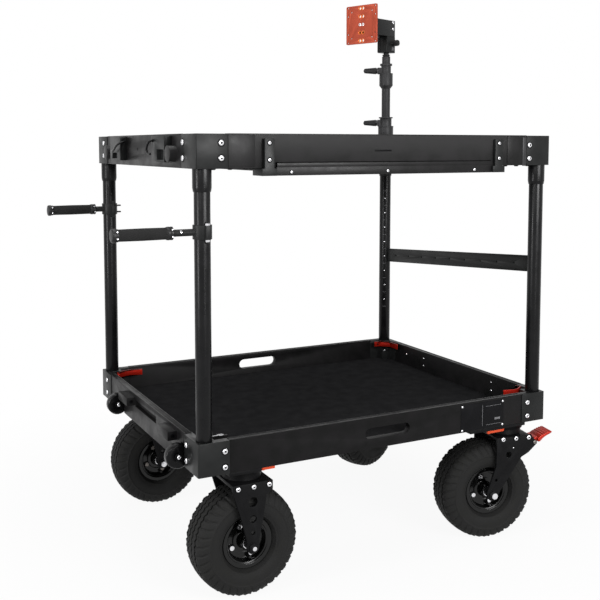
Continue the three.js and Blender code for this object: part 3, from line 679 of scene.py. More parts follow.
def placed(name: str, data: bpy.types.ID) -> bpy.types.Object:
    """Make an object and link it into the scene.

    Args:
        name: The object's name.
        data: Its mesh, lamp or camera.

    Returns:
        The new object.
    """
    made = bpy.data.objects.new(name, data)
    bpy.context.scene.collection.objects.link(made)
    return made


def make(name: str, shape: Shape, body: str, finish: Finish, stands_for: Sequence[str] = (),
         crease: float = 35.0) -> None:
    """Make one piece of the cart and let it ride on a body.

    Args:
        name: The piece's name.
        shape: Its surface, in millimetres in the cart's own frame.
        body: The body that carries it.
        finish: Its finish.
        stands_for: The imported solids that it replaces.
        crease: The angle in degrees above which an edge stays sharp.
    """
    mesh = bpy.data.meshes.new(name)
    mesh.from_pydata(shape.points * MM + ORIGIN, [], shape.quads.tolist() + shape.tris.tolist())
    mesh.shade_smooth()
    mesh.set_sharp_from_angle(angle=math.radians(crease))
    mesh.materials.append(finish.material())
    piece = placed(name, mesh)
    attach(piece, body)
    if stands_for:
        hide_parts(*stands_for)
    LOG.info("%s rides on %s with %d faces", name, body, len(mesh.polygons))


@dataclass
class PackedSolids:
    """The cart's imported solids, which keep their mesh and place and get finishes and softened edges."""

    edge: float = 0.8
    fine_edge: float = 0.35
    crease: float = 32.0
    weld_gap: float = 0.01
    flat_angle: float = 1.0
    fine: tuple[str, ...] = ("monitor_plate", "cross_bar", "brake_pedal", "lock_lever", "hook", "angle")
    plain: tuple[str, ...] = ("carpet", "tyre", "rim", "handle_grip")
    # The lower tray takes the frame coat's shaded copy, as painted shade.
    own: tuple[tuple[str, Finish], ...] = (
        ("side_roller", ROLLER), ("mast_tube", MAST), ("mast_spigot", MAST), ("mast_sleeve", MAST),
        ("post_angle_near_left", FRAME), ("lower_tray", LOWER),
    )

    def build(self) -> None:
        """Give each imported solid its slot's finish, and soften its edges with live modifiers."""
        slots = {row["node"]: Slot(row["material_slot"]) for row in frame["record"]["subparts"]}
        for name, node in frame["nodes"].items():
            kind = name.removesuffix("_near").removesuffix("_far")
            finish = dict(self.own).get(kind, FINISHES[slots[name]])
            node.data.materials.clear()
            node.data.materials.append(finish.material())
            LOG.info("%s wears %s", name, finish.name)
            if not any(word in name for word in self.plain):
                self.soften(node, self.fine_edge if any(word in name for word in self.fine) else self.edge)

    def soften(self, node: bpy.types.Object, width: float) -> None:
        """Weld the loose triangles, merge the flat ones and round the edges left.

        Args:
            node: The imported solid.
            width: The rounding's width in millimetres.
        """
        weld = node.modifiers.new("weld", "WELD")
        weld.merge_threshold = self.weld_gap * MM
        flat = node.modifiers.new("flat", "DECIMATE")
        flat.decimate_type = "DISSOLVE"
        flat.angle_limit = math.radians(self.flat_angle)
        bevel = node.modifiers.new("bevel", "BEVEL")
        bevel.width, bevel.segments = width * MM, 2
        bevel.limit_method = "ANGLE"
        bevel.angle_limit = math.radians(self.crease)
        split = node.modifiers.new("split", "EDGE_SPLIT")
        split.split_angle = math.radians(self.crease)
        node.data.shade_smooth()


# ---------------- fasteners


class Head(Enum):
    """The kinds of screw head on the cart."""

    BUTTON = "button"
    SUNK = "sunk"
    HEX = "hex"


def screw_head(kind: Head, radius: float) -> Shape:
    """Turn a screw head with its hexagon, standing on its face.

    The profile runs from the rim over the crown to a six-sided socket, or up a six-sided bolt head.

    Args:
        kind: The kind of head.
        radius: The head's radius.

    Returns:
        The closed head, up the z axis from zero.
    """
    r = radius
    if kind is Head.HEX:
        profile = [(r, -0.5), (r, 0.62 * r), (0.9 * r, 0.72 * r), (0.5 * r, 0.78 * r)]
        return lathe(profile, 24, sides=(6, 6, 0, 0))
    crown = 0.5 if kind is Head.BUTTON else 0.12
    profile = [(r, -0.5), (r, 0.3 * crown * r), (0.9 * r, 0.66 * crown * r), (0.7 * r, 0.92 * crown * r),
               (0.46 * r, crown * r), (0.4 * r, crown * r - 0.2), (0.38 * r, -0.05 * r), (0.05 * r, -0.1 * r)]
    return lathe(profile, 24, sides=(0, 0, 0, 0, 6, 6, 6, 0))


@dataclass(frozen=True)
class ScrewSet:
    """Screws of one kind, each in a dark ring that is painted shade of its clearance hole.

    Without an axis, each head points straight away from the plane y = 0. The ring's radius is a
    share of the head's, or 0 where there is no ring. The place function, if there is one, carries
    the set from the frame of a caster or of the mast's head.
    """

    name: str
    spots: Sequence[Point]
    axis: Point | None
    radius: float = 5.9
    kind: Head = Head.BUTTON
    body: str = "base"
    ring: float = 1.32
    ring_thick: float = 0.5
    finish: Finish = ZINC
    side: Point = RIGHT
    place: Callable[[Shape], Shape] | None = None
    ending: str = ""

    def build(self) -> None:
        """Make the heads as one piece, and their rings as another."""
        self.copies(screw_head(self.kind, self.radius), self.name, self.finish)
        if self.ring:
            # Each ring is a near-black disc under the head: painted shade of the clearance hole round it.
            outer, top = self.radius * self.ring, self.ring_thick
            disc = lathe([(outer, -0.3), (outer, 0.6 * top), (outer - 0.4, top), (0.5 * outer, top)], 24)
            self.copies(disc, self.name + "_rings", BLACKENED)

    def copies(self, part: Shape, name: str, finish: Finish) -> None:
        """Stand a copy of a part on every spot, as one piece."""
        shape = gathered([part.standing(spot, self.axis or (0, math.copysign(1, spot[1]), 0), self.side)
                          for spot in self.spots])
        make(name + self.ending, self.place(shape) if self.place else shape, self.body, finish)


# ---------------- wheels and casters


@dataclass(frozen=True)
class Stance:
    """Where a caster's wheel stands, and how far it is turned about the upright axis."""

    name: str
    centre: Point
    turn: float
    carrier: str

    def place(self, shape: Shape) -> Shape:
        """Carry a shape from the wheel's own centre to the cart's frame."""
        return shape.carried(lambda points: turned(points, self.turn) + np.asarray(self.centre))


STANCES = (
    Stance("near_left", (101.0, 46.0, -236.0), 0.0, "base"),
    Stance("far_left", (101.0, 620.0, -236.0), 0.0, "base"),
    Stance("near_right", (737.705, 48.169, -236.0), -11.3, "swivel_near_right"),
    Stance("far_right", (740.386, 608.573, -236.0), 21.0, "swivel_far_right"),
)


@dataclass
class Tyre:
    """Pneumatic tyre: four zigzag grooves round the tread, and shoulder blocks cut by swept notches."""

    wall: Line = ((51, 28), (55.6, 28), (58, 33.6), (61, 38), (67, 42.8), (74, 45), (84, 45.3), (92, 44.4),
                  (100, 41.9), (107, 38), (111, 34), (113.4, 30))
    rings: Row = (51, 53.5, 55.6, 57, 59, 60.9, 61.6, 62.8, 63.4, 66, 70, 75, 80, 84, 87.2, 87.9, 88.6, 90.4,
                  91.2, 93.5, 96, 99, 102, 104.5, 107, 109, 110.6, 112, 113.4)
    ridges: Row = (61.2, 61.8, 62.8, 63.3, 87.6, 88.4, 90.6, 91.3)
    ridge_heights: Row = (0, 0.7, 0.7, 0, 0, 0.9, 0.9, 0)
    crown: float = 116.5
    fall: float = 0.0034
    ribs: Row = (28.0, 15.0, 0.0, -15.0, -28.0)
    grooves: Row = (22.5, 7.5, -7.5, -22.5)
    groove_half: float = 2.3
    groove_slope: float = 0.6
    groove_depth: float = 3.6
    zigzags: int = 54
    swing: float = 2.4
    swing_from: float = 100.0
    swing_edge: Flat = (36.0, 28.0)
    steps_per_zigzag: int = 8
    lugs: int = 36
    notch_half: float = 0.15
    notch_slope: float = 0.07
    notch_depth: float = 2.3
    notch_sweep: float = 0.55
    notch_foot: Flat = (88.0, 99.0)
    notch_edge: Flat = (25.0, 28.5)
    shoulder: float = 28.0

    def section(self) -> Array:
        """Work out half of the tyre's section from the bead to the tread, then mirror it.

        The wall's width is read off its smooth line at each ring's radius. The tread falls from the
        crown as fall w^2, and drops by the groove's depth between each groove's two walls.

        Returns:
            Radius and width of each ring, from one bead over the tread to the other.
        """
        line = flowing(self.wall, 6)
        wall = np.stack((self.rings, np.interp(self.rings, line[:, 0], line[:, 1])), axis=-1)
        half, slope = self.groove_half, self.groove_slope
        offsets = np.array((half, half - slope, slope - half, -half))
        across = np.concatenate(((np.array(self.grooves)[:, None] + offsets).ravel(), self.ribs))
        drop = np.tile((0, self.groove_depth, self.groove_depth, 0), len(self.grooves))
        drop = np.concatenate((drop, np.zeros(len(self.ribs))))
        order = np.argsort(-across)
        across, drop = across[order], drop[order]
        tread = np.stack((self.crown - self.fall * across ** 2 - drop, across), axis=-1)
        return np.concatenate((wall, tread, wall[::-1] * (1, -1)))

    def shape(self) -> Shape:
        """Carry the section round the axle, with its zigzags and notches.

        At angle number k the tread's rings swing sideways by a triangle wave of k. A notch sinks a
        ring along its normal where the angle, led on by the sweep towards the wall, lies within the
        notch's half width of a block's end; it fades out below the blocks and onto the tread.

        Returns:
            The closed tyre about the z axis, with its middle plane at zero.
        """
        section = self.section()
        steps = self.zigzags * self.steps_per_zigzag
        r, w = section[:, :1], section[:, 1:]
        along = np.gradient(section, axis=0)
        normal = np.stack((-along[:, 1], along[:, 0]), axis=-1)
        normal /= np.linalg.norm(normal, axis=1)[:, None]
        k = np.arange(steps)[None, :]
        wave = 4 * np.abs((k / self.steps_per_zigzag) % 1 - 0.5) - 1
        on_tread = (r > self.swing_from) * eased(np.abs(w), *self.swing_edge)
        sweep = self.notch_sweep * ((self.crown - r) / self.shoulder) ** 2
        phase = (k * self.lugs / steps + sweep) % 1
        notch = np.clip((self.notch_half - np.abs(phase - 0.5)) / self.notch_slope, 0, 1)
        sink = self.notch_depth * notch * eased(r, *self.notch_foot) * eased(np.abs(w), *self.notch_edge)
        rise = np.interp(r, self.ridges, self.ridge_heights) - sink
        height = w + rise * normal[:, 1:] + self.swing * wave * on_tread
        return revolved(r + rise * normal[:, :1], height, looped=True)


@dataclass
class Rim:
    """Pressed steel rim with four bolts through its dish, a bearing in its hub and a valve."""

    half: Line = (
        (8.6, 33), (9.4, 33), (9.7, 34.6), (12.8, 34.6), (13.1, 33.4), (14, 33.4), (14.4, 36), (16, 36),
        (16.4, 17), (19, 13.5), (25, 12.5), (28, 14), (38.6, 14), (41.2, 17), (42.0, 25), (43.6, 28),
        (46.0, 28.8), (47.6, 30.9), (53.4, 31.4), (55.2, 31.6), (55.6, 29), (53.4, 28.2), (50.7, 28.2),
    )
    corner: float = 0.7
    bolt_rise: float = 1.4
    bolt_circle: float = 32.5
    bolt_angles: Row = (112, 202, 292, 22)
    bolt_radius: float = 5.6
    bolt_face: float = 14.0
    washer: float = 7.4
    seal: Line = ((9.8, 34.2), (12.6, 34.2), (12.6, 35.3), (9.8, 35.3))
    valve_angle: float = -78.0
    stem: Line = ((40, 12), (39, 20), (36, 27))
    stem_radius: float = 3.0

    def shape(self) -> Shape:
        """Mirror the half section about the middle plane and turn it about the axle."""
        half = np.array(self.half)
        return hollow(np.concatenate((half, half[::-1] * (1, -1))), self.corner, 96)

    def bolts(self) -> Shape:
        """Set a hexagon head on both faces at each bolt angle."""
        return self.on_dish(screw_head(Head.HEX, self.bolt_radius).standing((0, 0, self.bolt_rise)))

    def washers(self) -> Shape:
        """Set a thick washer under each bolt head."""
        top = self.washer
        return self.on_dish(lathe([(top, -0.4), (top, 1.2), (top - 0.5, 1.5), (3, 1.5)], 24))

    def on_dish(self, part: Shape) -> Shape:
        """Repeat a part on both faces of the dish at each bolt angle.

        Args:
            part: The part, standing on zero.

        Returns:
            All its copies.
        """
        angles = [math.radians(a) for a in self.bolt_angles]
        spots = [(self.bolt_circle * math.cos(a), self.bolt_circle * math.sin(a)) for a in angles]
        return gathered([part.standing((x, y, side * self.bolt_face), (0, 0, side)) for x, y in spots
                         for side in (1, -1)])

    def bearing(self) -> Shape:
        """Turn the bright ring of the ball bearing's seal for both ends of the hub."""
        ring = hollow(self.seal, 0.4, 48)
        return gathered([ring, ring.standing(axis=DOWN)])

    def valve(self) -> Shape:
        """Bend the valve's stem out of the dish.

        Its middle line runs smoothly through the places r out from the axle and z above the middle.

        Returns:
            The stem.
        """
        c, s = math.cos(math.radians(self.valve_angle)), math.sin(math.radians(self.valve_angle))
        path = flowing([(r * c, r * s, z) for r, z in self.stem], 4)
        return tube(path, self.stem_radius, (-s, c, 0), 14, 0.4)


@dataclass
class Wheels:
    """The four caster wheels with their axle ends."""

    tyre: Tyre
    rim: Rim
    nut: float = 65.0
    nut_radius: float = 7.9
    small_nut: str = "near_left"
    small_radius: float = 5.0
    # The wheel whose bolts wear the dull grey zinc as painted shade.
    dull_bolts: str = "far_left"
    spacer: Line = ((8.3, 36.8), (10.6, 36.8), (10.6, 53.6), (8.3, 53.6))

    def build(self) -> None:
        """Make each wheel's tyre, rim, bolts, bearings, valve, spacers and nuts."""
        shapes = {
            "tyre": (self.tyre.shape(), TYRE), "rim": (self.rim.shape(), RIM),
            "rim_bolts": (self.rim.bolts(), ZINC), "rim_washers": (self.rim.washers(), BLACKENED),
            "hub_bearings": (self.rim.bearing(), ZINC), "valve": (self.rim.valve(), RUBBER),
        }
        for stance in STANCES:
            for part, (shape, finish) in shapes.items():
                name = f"{part}_{stance.name}"
                packed = (name,) if name in frame["nodes"] else ()
                label = f"{part}_surface_{stance.name}" if packed else name
                # On the shaded wheel the bolts take the dull grey zinc: painted shade.
                worn = DULL if name == f"rim_bolts_{self.dull_bolts}" else finish
                lying = stance.place(shape.standing(axis=NEAR))
                make(label, lying, f"wheel_{stance.name}", worn, packed, 50.0)
            self.axle_ends(stance)

    def axle_ends(self, stance: Stance) -> None:
        """Put a spacer inside each cheek, and a bright nut on each end of the axle.

        Args:
            stance: The wheel's place.
        """
        sleeve = hollow(self.spacer, 0.5, 32)
        sleeves = gathered([sleeve.standing(axis=side) for side in (NEAR, FAR)])
        make(f"axle_spacers_{stance.name}", stance.place(sleeves), stance.carrier, BLACKENED)
        radius = self.small_radius if stance.name == self.small_nut else self.nut_radius
        spots = ((0, -self.nut, 0), (0, self.nut, 0))
        ScrewSet("axle_nuts", spots, None, radius, Head.HEX, stance.carrier, 0, place=stance.place,
                 ending=f"_{stance.name}").build()


@dataclass
class Forks:
    """Screws, rivets and stops on the fixed and the swivel forks, forward of and above the axle."""

    cheek: float = 60.0
    ring: float = 1.3
    fixed: tuple[tuple[str, float, Finish, Line], ...] = (
        ("cheek_screws", 5.4, ZINC, ((-33, 128), (2, 128), (37, 128))),
    )
    swivel: tuple[tuple[str, float, Finish, Line], ...] = (
        ("cheek_screws", 5.4, ZINC, ((25, 132), (58.5, 132), (92, 132))),
        ("pedal_rivets", 4.4, DULL, ((108.7, 119),)), ("cheek_stops", 1.8, ZINC, ((52, 110),)),
    )

    def build(self) -> None:
        """Make the cheek screws of each caster, and the swivel forks' rivets and stops."""
        for stance in STANCES:
            for name, radius, finish, flat in self.swivel if stance.turn else self.fixed:
                spots = [(x, y, z) for x, z in flat for y in (-self.cheek, self.cheek)]
                ScrewSet(name, spots, None, radius, body=stance.carrier, ring=self.ring, finish=finish,
                         place=stance.place, ending=f"_{stance.name}").build()


@dataclass
class Pedals:
    """Red brake pedals, each a bent shoe with grip grooves, its arm and the barrel it turns on."""

    top: Line = ((118.4, 127.6), (124, 131.4), (132, 135.6), (141, 139), (149, 141.3), (153.6, 141.6))
    foot: Line = ((154.6, 139.4), (149.5, 136.0), (143, 133.4), (136.5, 130.2), (130, 125.8), (123, 119.2),
                  (118.4, 118.6))
    arm: Line = ((103, 124.5), (108, 126), (121, 129), (121, 119.5), (108, 112.5), (102, 113))
    pivot: Flat = (106.0, 119.0)
    barrel: float = 7.0
    width: Flat = (14.0, 60.0)
    inside: float = 53.2
    grooves: int = 5
    grooved: Flat = (0.3, 0.95)
    depth: float = 1.1

    def shoe(self) -> Shape:
        """Carry the bent profile across the pedal.

        The upper line runs smoothly through its points, and over the grooved share of its length it
        drops by depth (1 - cos(2 pi n s)) / 2, with s from 0 to 1 along that share.

        Returns:
            The shoe, with its profile in x and y and its width along z.
        """
        line = flowing(self.top, 16)
        share = np.linspace(0, 1, len(line))
        s = np.clip((share - self.grooved[0]) / (self.grooved[1] - self.grooved[0]), 0, 1)
        line[:, 1] -= self.depth * (1 - np.cos(2 * math.pi * self.grooves * s)) / 2
        return slab(np.concatenate((line, flowing(self.foot, 3))), *self.width, 1.1)

    def build(self) -> None:
        """Lay the shoe, the arm between the cheeks and the barrel across each swivel fork."""
        low, x, z = self.width[0], *self.pivot
        arm = slab(softened(self.arm, 3, 3, looped=True), low, self.inside, 0.8)
        barrel = rod(self.barrel, low, self.inside, 32).standing((x, 0, z), NEAR)
        parts = gathered([self.shoe().standing(axis=NEAR), arm.standing(axis=NEAR), barrel])
        for stance in STANCES[2:]:
            body = stance.carrier.replace("swivel", "pedal")
            make(f"pedal_{stance.name}", stance.place(parts), body, RED, (f"brake_pedal_{stance.name}",), 40)


@dataclass
class FarLockLevers:
    """Lock levers at the two far casters, which match the near ones."""

    places: tuple[tuple[str, Point, float], ...] = (("left", (124, 678, -69.2), 27),
                                                    ("right", (707, 679, -76.5), 45))
    knuckle: float = 4.0
    height: float = 7.0
    half: float = 2.0

    def build(self) -> None:
        """Turn each lever's knuckle and lay its blade beside the caster's mount."""
        for name, (x, y, z), length in self.places:
            foot = z - self.height
            blade = bar((x, y - self.half, foot), (x + length, y + self.half, z))
            knuckle = rod(self.knuckle, foot, z, 24).standing((x, y, 0))
            make(f"lock_lever_far_{name}", gathered([knuckle, blade]), "base", ORANGE)


@dataclass
class CornerAngles:
    """Red straps bent round the lower tray's inner corners, each held where it touches the wall."""

    places: tuple[tuple[str, Line], ...] = (
        ("near_right", ((64, 28), (34, 22.3), (24, 24), (1, 40), (9, 49))),
        ("far_left", ((72, 32), (41, 22.3), (20, 29), (3, 41), (1, 56))),
        ("far_right", ((48, 22.3), (27, 22.3), (7, 45), (8, 86))),
    )
    half: float = 1.5
    rise: Flat = (-14.0, 1.0)
    hole: Flat = (2.6, 0.3)
    hole_at: Point = (810.0, 642.2, -6.5)

    def strap(self, bends: Sequence[Flat], right: bool, far: bool) -> Shape:
        """Lay a bent strip beside a post.

        Each bend moves out on both sides by half m, where m runs along the sum of its two sides'
        normals and has length 1 along each of them.

        Args:
            bends: The strip's middle line, inwards from the post along x and y.
            right: Whether the post is a right one.
            far: Whether it is a far one.

        Returns:
            The closed strap.
        """
        line = np.asarray(bends, float)
        along = np.diff(line, axis=0)
        normal = np.stack((-along[:, 1], along[:, 0]), axis=-1) / np.linalg.norm(along, axis=1)[:, None]
        before, after = normal[[0, *range(len(normal))]], normal[[*range(len(normal)), -1]]
        mitre = (before + after) / (1 + (before * after).sum(axis=1))[:, None]
        loop = np.concatenate((line + self.half * mitre, (line - self.half * mitre)[::-1]))
        at = np.array(SPAN) * (right, far)
        return slab(at + loop * (1 - 2 * right, 1 - 2 * far), *self.rise, 0.5, 2)

    def build(self) -> None:
        """Make the three straps that show, and a dark disc in the far right one as painted shade of its hole.
        """
        for name, bends in self.places:
            strap = self.strap(bends, "right" in name, "far" in name)
            # Each strap wears the red's darker copy, as painted shade of its corner.
            make(f"corner_strap_{name}", strap, "base", DEEP, (f"post_angle_{name}",))
        radius, deep = self.hole
        # A near-black disc where the strap has a hole: painted shade.
        disc = lathe([(0.1, 0), (radius, 0), (radius, deep), (0.1, deep)], 20)
        make("strap_hole", disc.standing(self.hole_at, NEAR), "base", BLACKENED)


# ---------------- handles, hooks and rollers


@dataclass
class PushHandle:
    """Foam grip with its two collars and end cap, and the clamp's screws."""

    side: str
    y: float
    z: float
    root: float
    length: float = 120.0
    foam: float = 11.6
    gap: float = 5.0
    swell: float = 0.5
    ring: float = 13.2
    ring_length: float = 13.0
    cap: float = 13.6
    bore: float = 7.2
    screw: float = 1.9

    def build(self) -> None:
        """Turn the foam, the collars and the cap about the handle's tube, and set the screws."""
        body, lies = f"handle_{self.side}", ((-self.root, self.y, self.z), LEFT, UP)
        bore, end, foam, gap = self.bore, self.length, self.foam, self.gap
        sleeve = hollow([(bore, gap), (foam, gap), (foam + self.swell, 0.5 * end), (foam, end - gap),
                         (bore, end - gap)], 0.8, 48, 3)
        make(f"foam_sleeve_{self.side}", sleeve.standing(*lies), body, FOAM, (f"handle_grip_{self.side}",))
        ring, long, cap = self.ring, self.ring_length, self.cap
        collar = hollow([(bore, 0), (ring, 0), (ring, 4), (ring - 0.8, 4.5), (ring - 0.8, 5.5), (ring, 6),
                         (ring, long - 3), (ring - 1.0, long), (bore, long)], 0.5, 48)
        outer = [(0.1, end + 1.4), (8, end + 1.3), (cap - 1.5, end + 0.6), (cap, end - 1.6), (cap, end - 7),
                 (cap - 1, end - 7.6), (cap - 1, end - 12), (bore, end - 12)]
        ends = gathered([collar.standing(*lies), lathe(softened(outer, 0.5, 2)).standing(*lies)])
        make(f"grip_collars_{self.side}", ends, body, PLASTIC, crease=40)
        spots = [(-self.root - along, self.y - size + deep, self.z + rise) for along, size, deep, rise in (
            (2.6, ring, 0.3, -6), (2.6, ring, 2.6, 7.5), (end - 9, cap, 0.6, -5.5), (end - 9, cap, 2.2, 7.5))]
        ScrewSet(f"grip_set_screws_{self.side}", spots, NEAR, self.screw, body=body, ring=0).build()


@dataclass
class ClampHardware:
    """Bolt, nut and prongs on the handle clamps."""

    screws: tuple[ScrewSet, ...] = (
        ScrewSet("near_clamp_bolt_head", ((3.0, -19.5, 435.4),), UP, 5.2, Head.HEX, "handle_near", 0),
        ScrewSet("near_clamp_nut", ((3.0, -19.5, 406.6),), DOWN, 5.2, Head.HEX, "handle_near", 0),
        ScrewSet("near_neck_screw", ((-46.0, -6.2, 423.5),), (0, -1, 0.4), 2.6, Head.SUNK, "handle_near", 0),
    )
    prongs: tuple[Ends, ...] = (((10, 661, 417), (29, 671, 420.4)), ((10, 661, 433.6), (29, 671, 437)))

    def build(self) -> None:
        """Make the near clamp's bolt, nut and neck screw, and the far clamp's two prongs."""
        for screws in self.screws:
            screws.build()
        make("far_clamp_prongs", gathered([bar(*ends, 0.8) for ends in self.prongs]), "handle_far", BLOCK)


@dataclass
class Hooks:
    """Bent cable hooks, each a rod through smooth bends with a rounded end."""

    radius: float = 2.5
    rods: tuple[tuple[str, Point, Point, tuple[Point, ...]], ...] = (
        ("far", (-28.0, 437.0, 600.0), (0.2, 0.3, 1),
         ((0, 7, 0), (0, 2, 0), (0, -4, 0), (-4, -9, -1), (-12, -6, -4), (-16, 8, -11), (-16, 24, -18),
          (-15.5, 37, -22), (-15, 50, -23.5))),
        ("near", (-36.0, 192.0, 601.0), (1, 0.9, 0.1),
         ((7, 0, 0), (2, 0, 0), (-4, 0, 0), (-9, 2, -3), (-11, 7, -11), (-10.5, 12, -19), (-9, 9, -26),
          (-8, -4, -28))),
    )

    def build(self) -> None:
        """Run both rods along their paths from their pivots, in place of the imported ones."""
        for side, pivot, across, path in self.rods:
            bent = tube(flowing(np.array(path) + np.array(pivot), 6), self.radius, across, 18)
            make(f"hook_rod_{side}", bent, f"hook_{side}_body", TUBE, (f"hook_{side}",), 60)


@dataclass
class RollerCentres:
    """Bright screws and their dark rings in the middle of the side rollers."""

    screws: tuple[ScrewSet, ...] = tuple(
        ScrewSet(f"roller_screw_{side}", ((-32.0, y, -47.0),), NEAR, 4.6, ring=1.6, ring_thick=0.4)
        for side, y in (("near", 58.7), ("far", 495.7))
    )

    def build(self) -> None:
        """Set each roller's screw in the pin's head, which stands still while the roller turns."""
        for screws in self.screws:
            screws.build()


# ---------------- trays, shelf and mast


@dataclass
class TrayTrim:
    """Folded lips along the trays' walls, the plates and screws on them, and the underside's bolts."""

    reach: float = 19.2
    wall: float = 16.0
    lip: float = 2.6
    inset: float = 0.3
    lip_rise: float = 0.7
    arm: Flat = (47.6, 59.6)
    tops: tuple[tuple[str, float], ...] = (("lower", 0.0), ("upper", 614.0))
    plate: Panel = ((622, -67.4, 746, -4.6), 0.9, 0.4, 0.5)
    rules: tuple[Panel, ...] = (
        ((683, -61, 683.9, -11), 1.2, -0.6, 0.25), ((694, -15.5, 738, -14.7), 1.2, -0.6, 0.25),
        ((694, -59.5, 738, -58.7), 1.2, -0.6, 0.25), ((719, -49.5, 735, -44.5), 1.25, -0.6, 0.25),
    )
    mark: Panel = ((386, 578.5, 428, 582), 0.5, 0.3, 0.25)
    corners: tuple[Flat, Flat] = ((625.5, 742.5), (-8.2, -63.8))
    corner_radius: float = 2.7
    under: tuple[tuple[float, Row], ...] = ((-9.0, (20.3, 55.9, 89.4, 746.5, 779.0, 812.0)),
                                            (675.0, (20.3, 55.9, 89.4, 758.6, 792.1, 827.7)))
    under_height: float = 545.2
    under_radius: float = 5.2
    edge: float = 0.4
    # Near-black sunk heads on the left side: painted shade of the blind holes there.
    plugs: tuple[ScrewSet, ...] = (
        ScrewSet("left_face_plug", ((-19.2, 355.3, 582.8),), LEFT, 2.6, Head.SUNK, ring=1.3,
                 finish=BLACKENED),
        ScrewSet("latch_plugs", ((-29.6, 107.0, -16.1), (-29.6, 400.4, -16.1)), NEAR, 3.0, Head.SUNK,
                 ring=1.4, finish=BLACKENED),
    )

    def build(self) -> None:
        """Make the lips of both trays, then the marks, plates and small bolts."""
        for name, top in self.tops:
            make(f"{name}_wall_lips", gathered(self.lips(top)), "base", FRAME)
        self.plates()
        self.bolts()

    def lips(self, top: float) -> list[Shape]:
        """Lay two narrow lips on each wall's top, one along its outer and one along its inner edge.

        Args:
            top: The walls' height.

        Returns:
            Eight bars.
        """
        (far_x, far_y), (armx, army) = SPAN, self.arm
        low, high = top - self.edge, top + self.lip_rise
        bars = []
        for shift in (self.inset, self.wall - self.lip - self.inset):
            near, inner = -self.reach + shift, -self.reach + shift + self.lip
            bars += [bar((x0, y0, low), (x1, y1, high), self.edge) for x0, y0, x1, y1 in (
                (armx, near, far_x - armx, inner), (armx, far_y - inner, far_x - armx, far_y - near),
                (near, army, inner, far_y - army), (far_x - inner, army, far_x - near, far_y - army),
            )]
        return bars

    def on_front(self, panel: Panel) -> Shape:
        """Lay a panel's thin bar on the trays' front face."""
        box, out, inwards, edge = panel
        return bar((box[0], -self.reach - out, box[1]), (box[2], -self.reach + inwards, box[3]), edge)

    def plates(self) -> None:
        """Make the bare name plate with its printed rules and screws, and on the upper rail a dark mark that
        is painted shade of a slot.
        """
        make("name_plate", self.on_front(self.plate), "base", LABEL)
        make("name_plate_rules", gathered([self.on_front(rule) for rule in self.rules]), "base", INK)
        spots = [(x, -self.reach - self.plate[1], z) for x in self.corners[0] for z in self.corners[1]]
        ScrewSet("name_plate_screws", spots, NEAR, self.corner_radius, ring=0).build()
        # A near-black bar on the upper rail: painted shade of a slot.
        make("upper_rail_mark", self.on_front(self.mark), "base", BLACKENED)

    def bolts(self) -> None:
        """Set the dark bolt heads under the upper rail, and on the left side the dark sunk heads that are
        painted shade of the blind holes.
        """
        spots = [(x, y, self.under_height) for y, row in self.under for x in row]
        ScrewSet("underside_bolts", spots, DOWN, self.under_radius, ring=0, finish=BLACKENED).build()
        for plugs in self.plugs:
            plugs.build()


@dataclass
class CornerScrews:
    """Bright button screws that hold the corner blocks, the brackets, the lip and the angles."""

    face: float = -20.7
    front: Line = ((33, 596), (33, 566), (808, 592), (808, 561), (37, -21.3), (37, -53.8), (817, -21.3),
                   (817, -53.8))
    left: Line = ((51, 597), (51, 565.5), (635.7, 597), (635.7, 565.5), (47, -19.6), (47, -52.2), (640, -19),
                  (640, -51.3))
    shelf: tuple[ScrewSet, ...] = (
        ScrewSet("bracket_screws", ((134.3, -27.7, 596), (134.3, -27.7, 562), (713.7, -27.7, 596),
                                    (713.7, -27.7, 562)), NEAR, 3.8, ring=1.5, ring_thick=0.3),
        ScrewSet("shelf_lip_screws", ((185.7, -22.7, 537.0), (416.8, -22.7, 537.0), (647.7, -22.7, 537.0)),
                 NEAR, 3.2, body="shelf", ring=1.4, ring_thick=0.3),
    )
    wall: tuple[Point, ...] = ((851.2, 157, -18), (851.2, 157, -39), (851.2, 460, -18), (851.2, 460, -39),
                               (851.2, 547, -23))
    wall_radius: float = 3.0
    pillars: tuple[Point, ...] = ((9.6, 20.7, -28.8), (838.4, 20.7, -28.8))
    pillar_radius: float = 3.2

    def pair(self, names: tuple[str, str], axes: Ends, spots: Sequence[Point], **sizes: float) -> None:
        """Set screws on one side of the cart, and their mirror image on the other.

        Along the way that the screws point, a place p goes to span - p; its other measures stay.

        Args:
            names: The names of the set and of its image.
            axes: Where the two sets point.
            spots: The places of the first set.
            sizes: The sizes of the screws and their rings.
        """
        image = [tuple(s - p if a else p for p, s, a in zip(spot, (*SPAN, 0), axes[0])) for spot in spots]
        for name, axis, places in zip(names, axes, (spots, image)):
            ScrewSet(name, places, axis, **sizes).build()

    def build(self) -> None:
        """Set every group of screws on its face."""
        front = [(x, self.face, z) for x, z in self.front]
        left = [(self.face, y, z) for y, z in self.left]
        self.pair(("front_block_screws", "back_block_screws"), (NEAR, FAR), front)
        self.pair(("left_block_screws", "right_block_screws"), (LEFT, RIGHT), left)
        for screws in self.shelf:
            screws.build()
        inner = ("right_wall_inner_screws", "left_wall_inner_screws")
        self.pair(inner, (LEFT, RIGHT), self.wall, radius=self.wall_radius, ring=0)
        pillars = ("pillar_screws_near", "pillar_screws_far")
        self.pair(pillars, (FAR, NEAR), self.pillars, radius=self.pillar_radius, ring=0)


@dataclass
class ShelfTrim:
    """Folded stop flange at the back of the pull-out shelf, and the fold above its lip."""

    flange: Ends = ((153.0, 385.6, 542.3), (695.0, 387.8, 552.9))
    bead: Ends = ((153.0, -22.5, 546.8), (695.0, -19.7, 556.0))

    def build(self) -> None:
        """Fold the flange up behind the shelf and the bead along its front."""
        make("shelf_flanges", gathered([bar(*self.flange, 0.5), bar(*self.bead, 0.9)]), "shelf", FRAME)


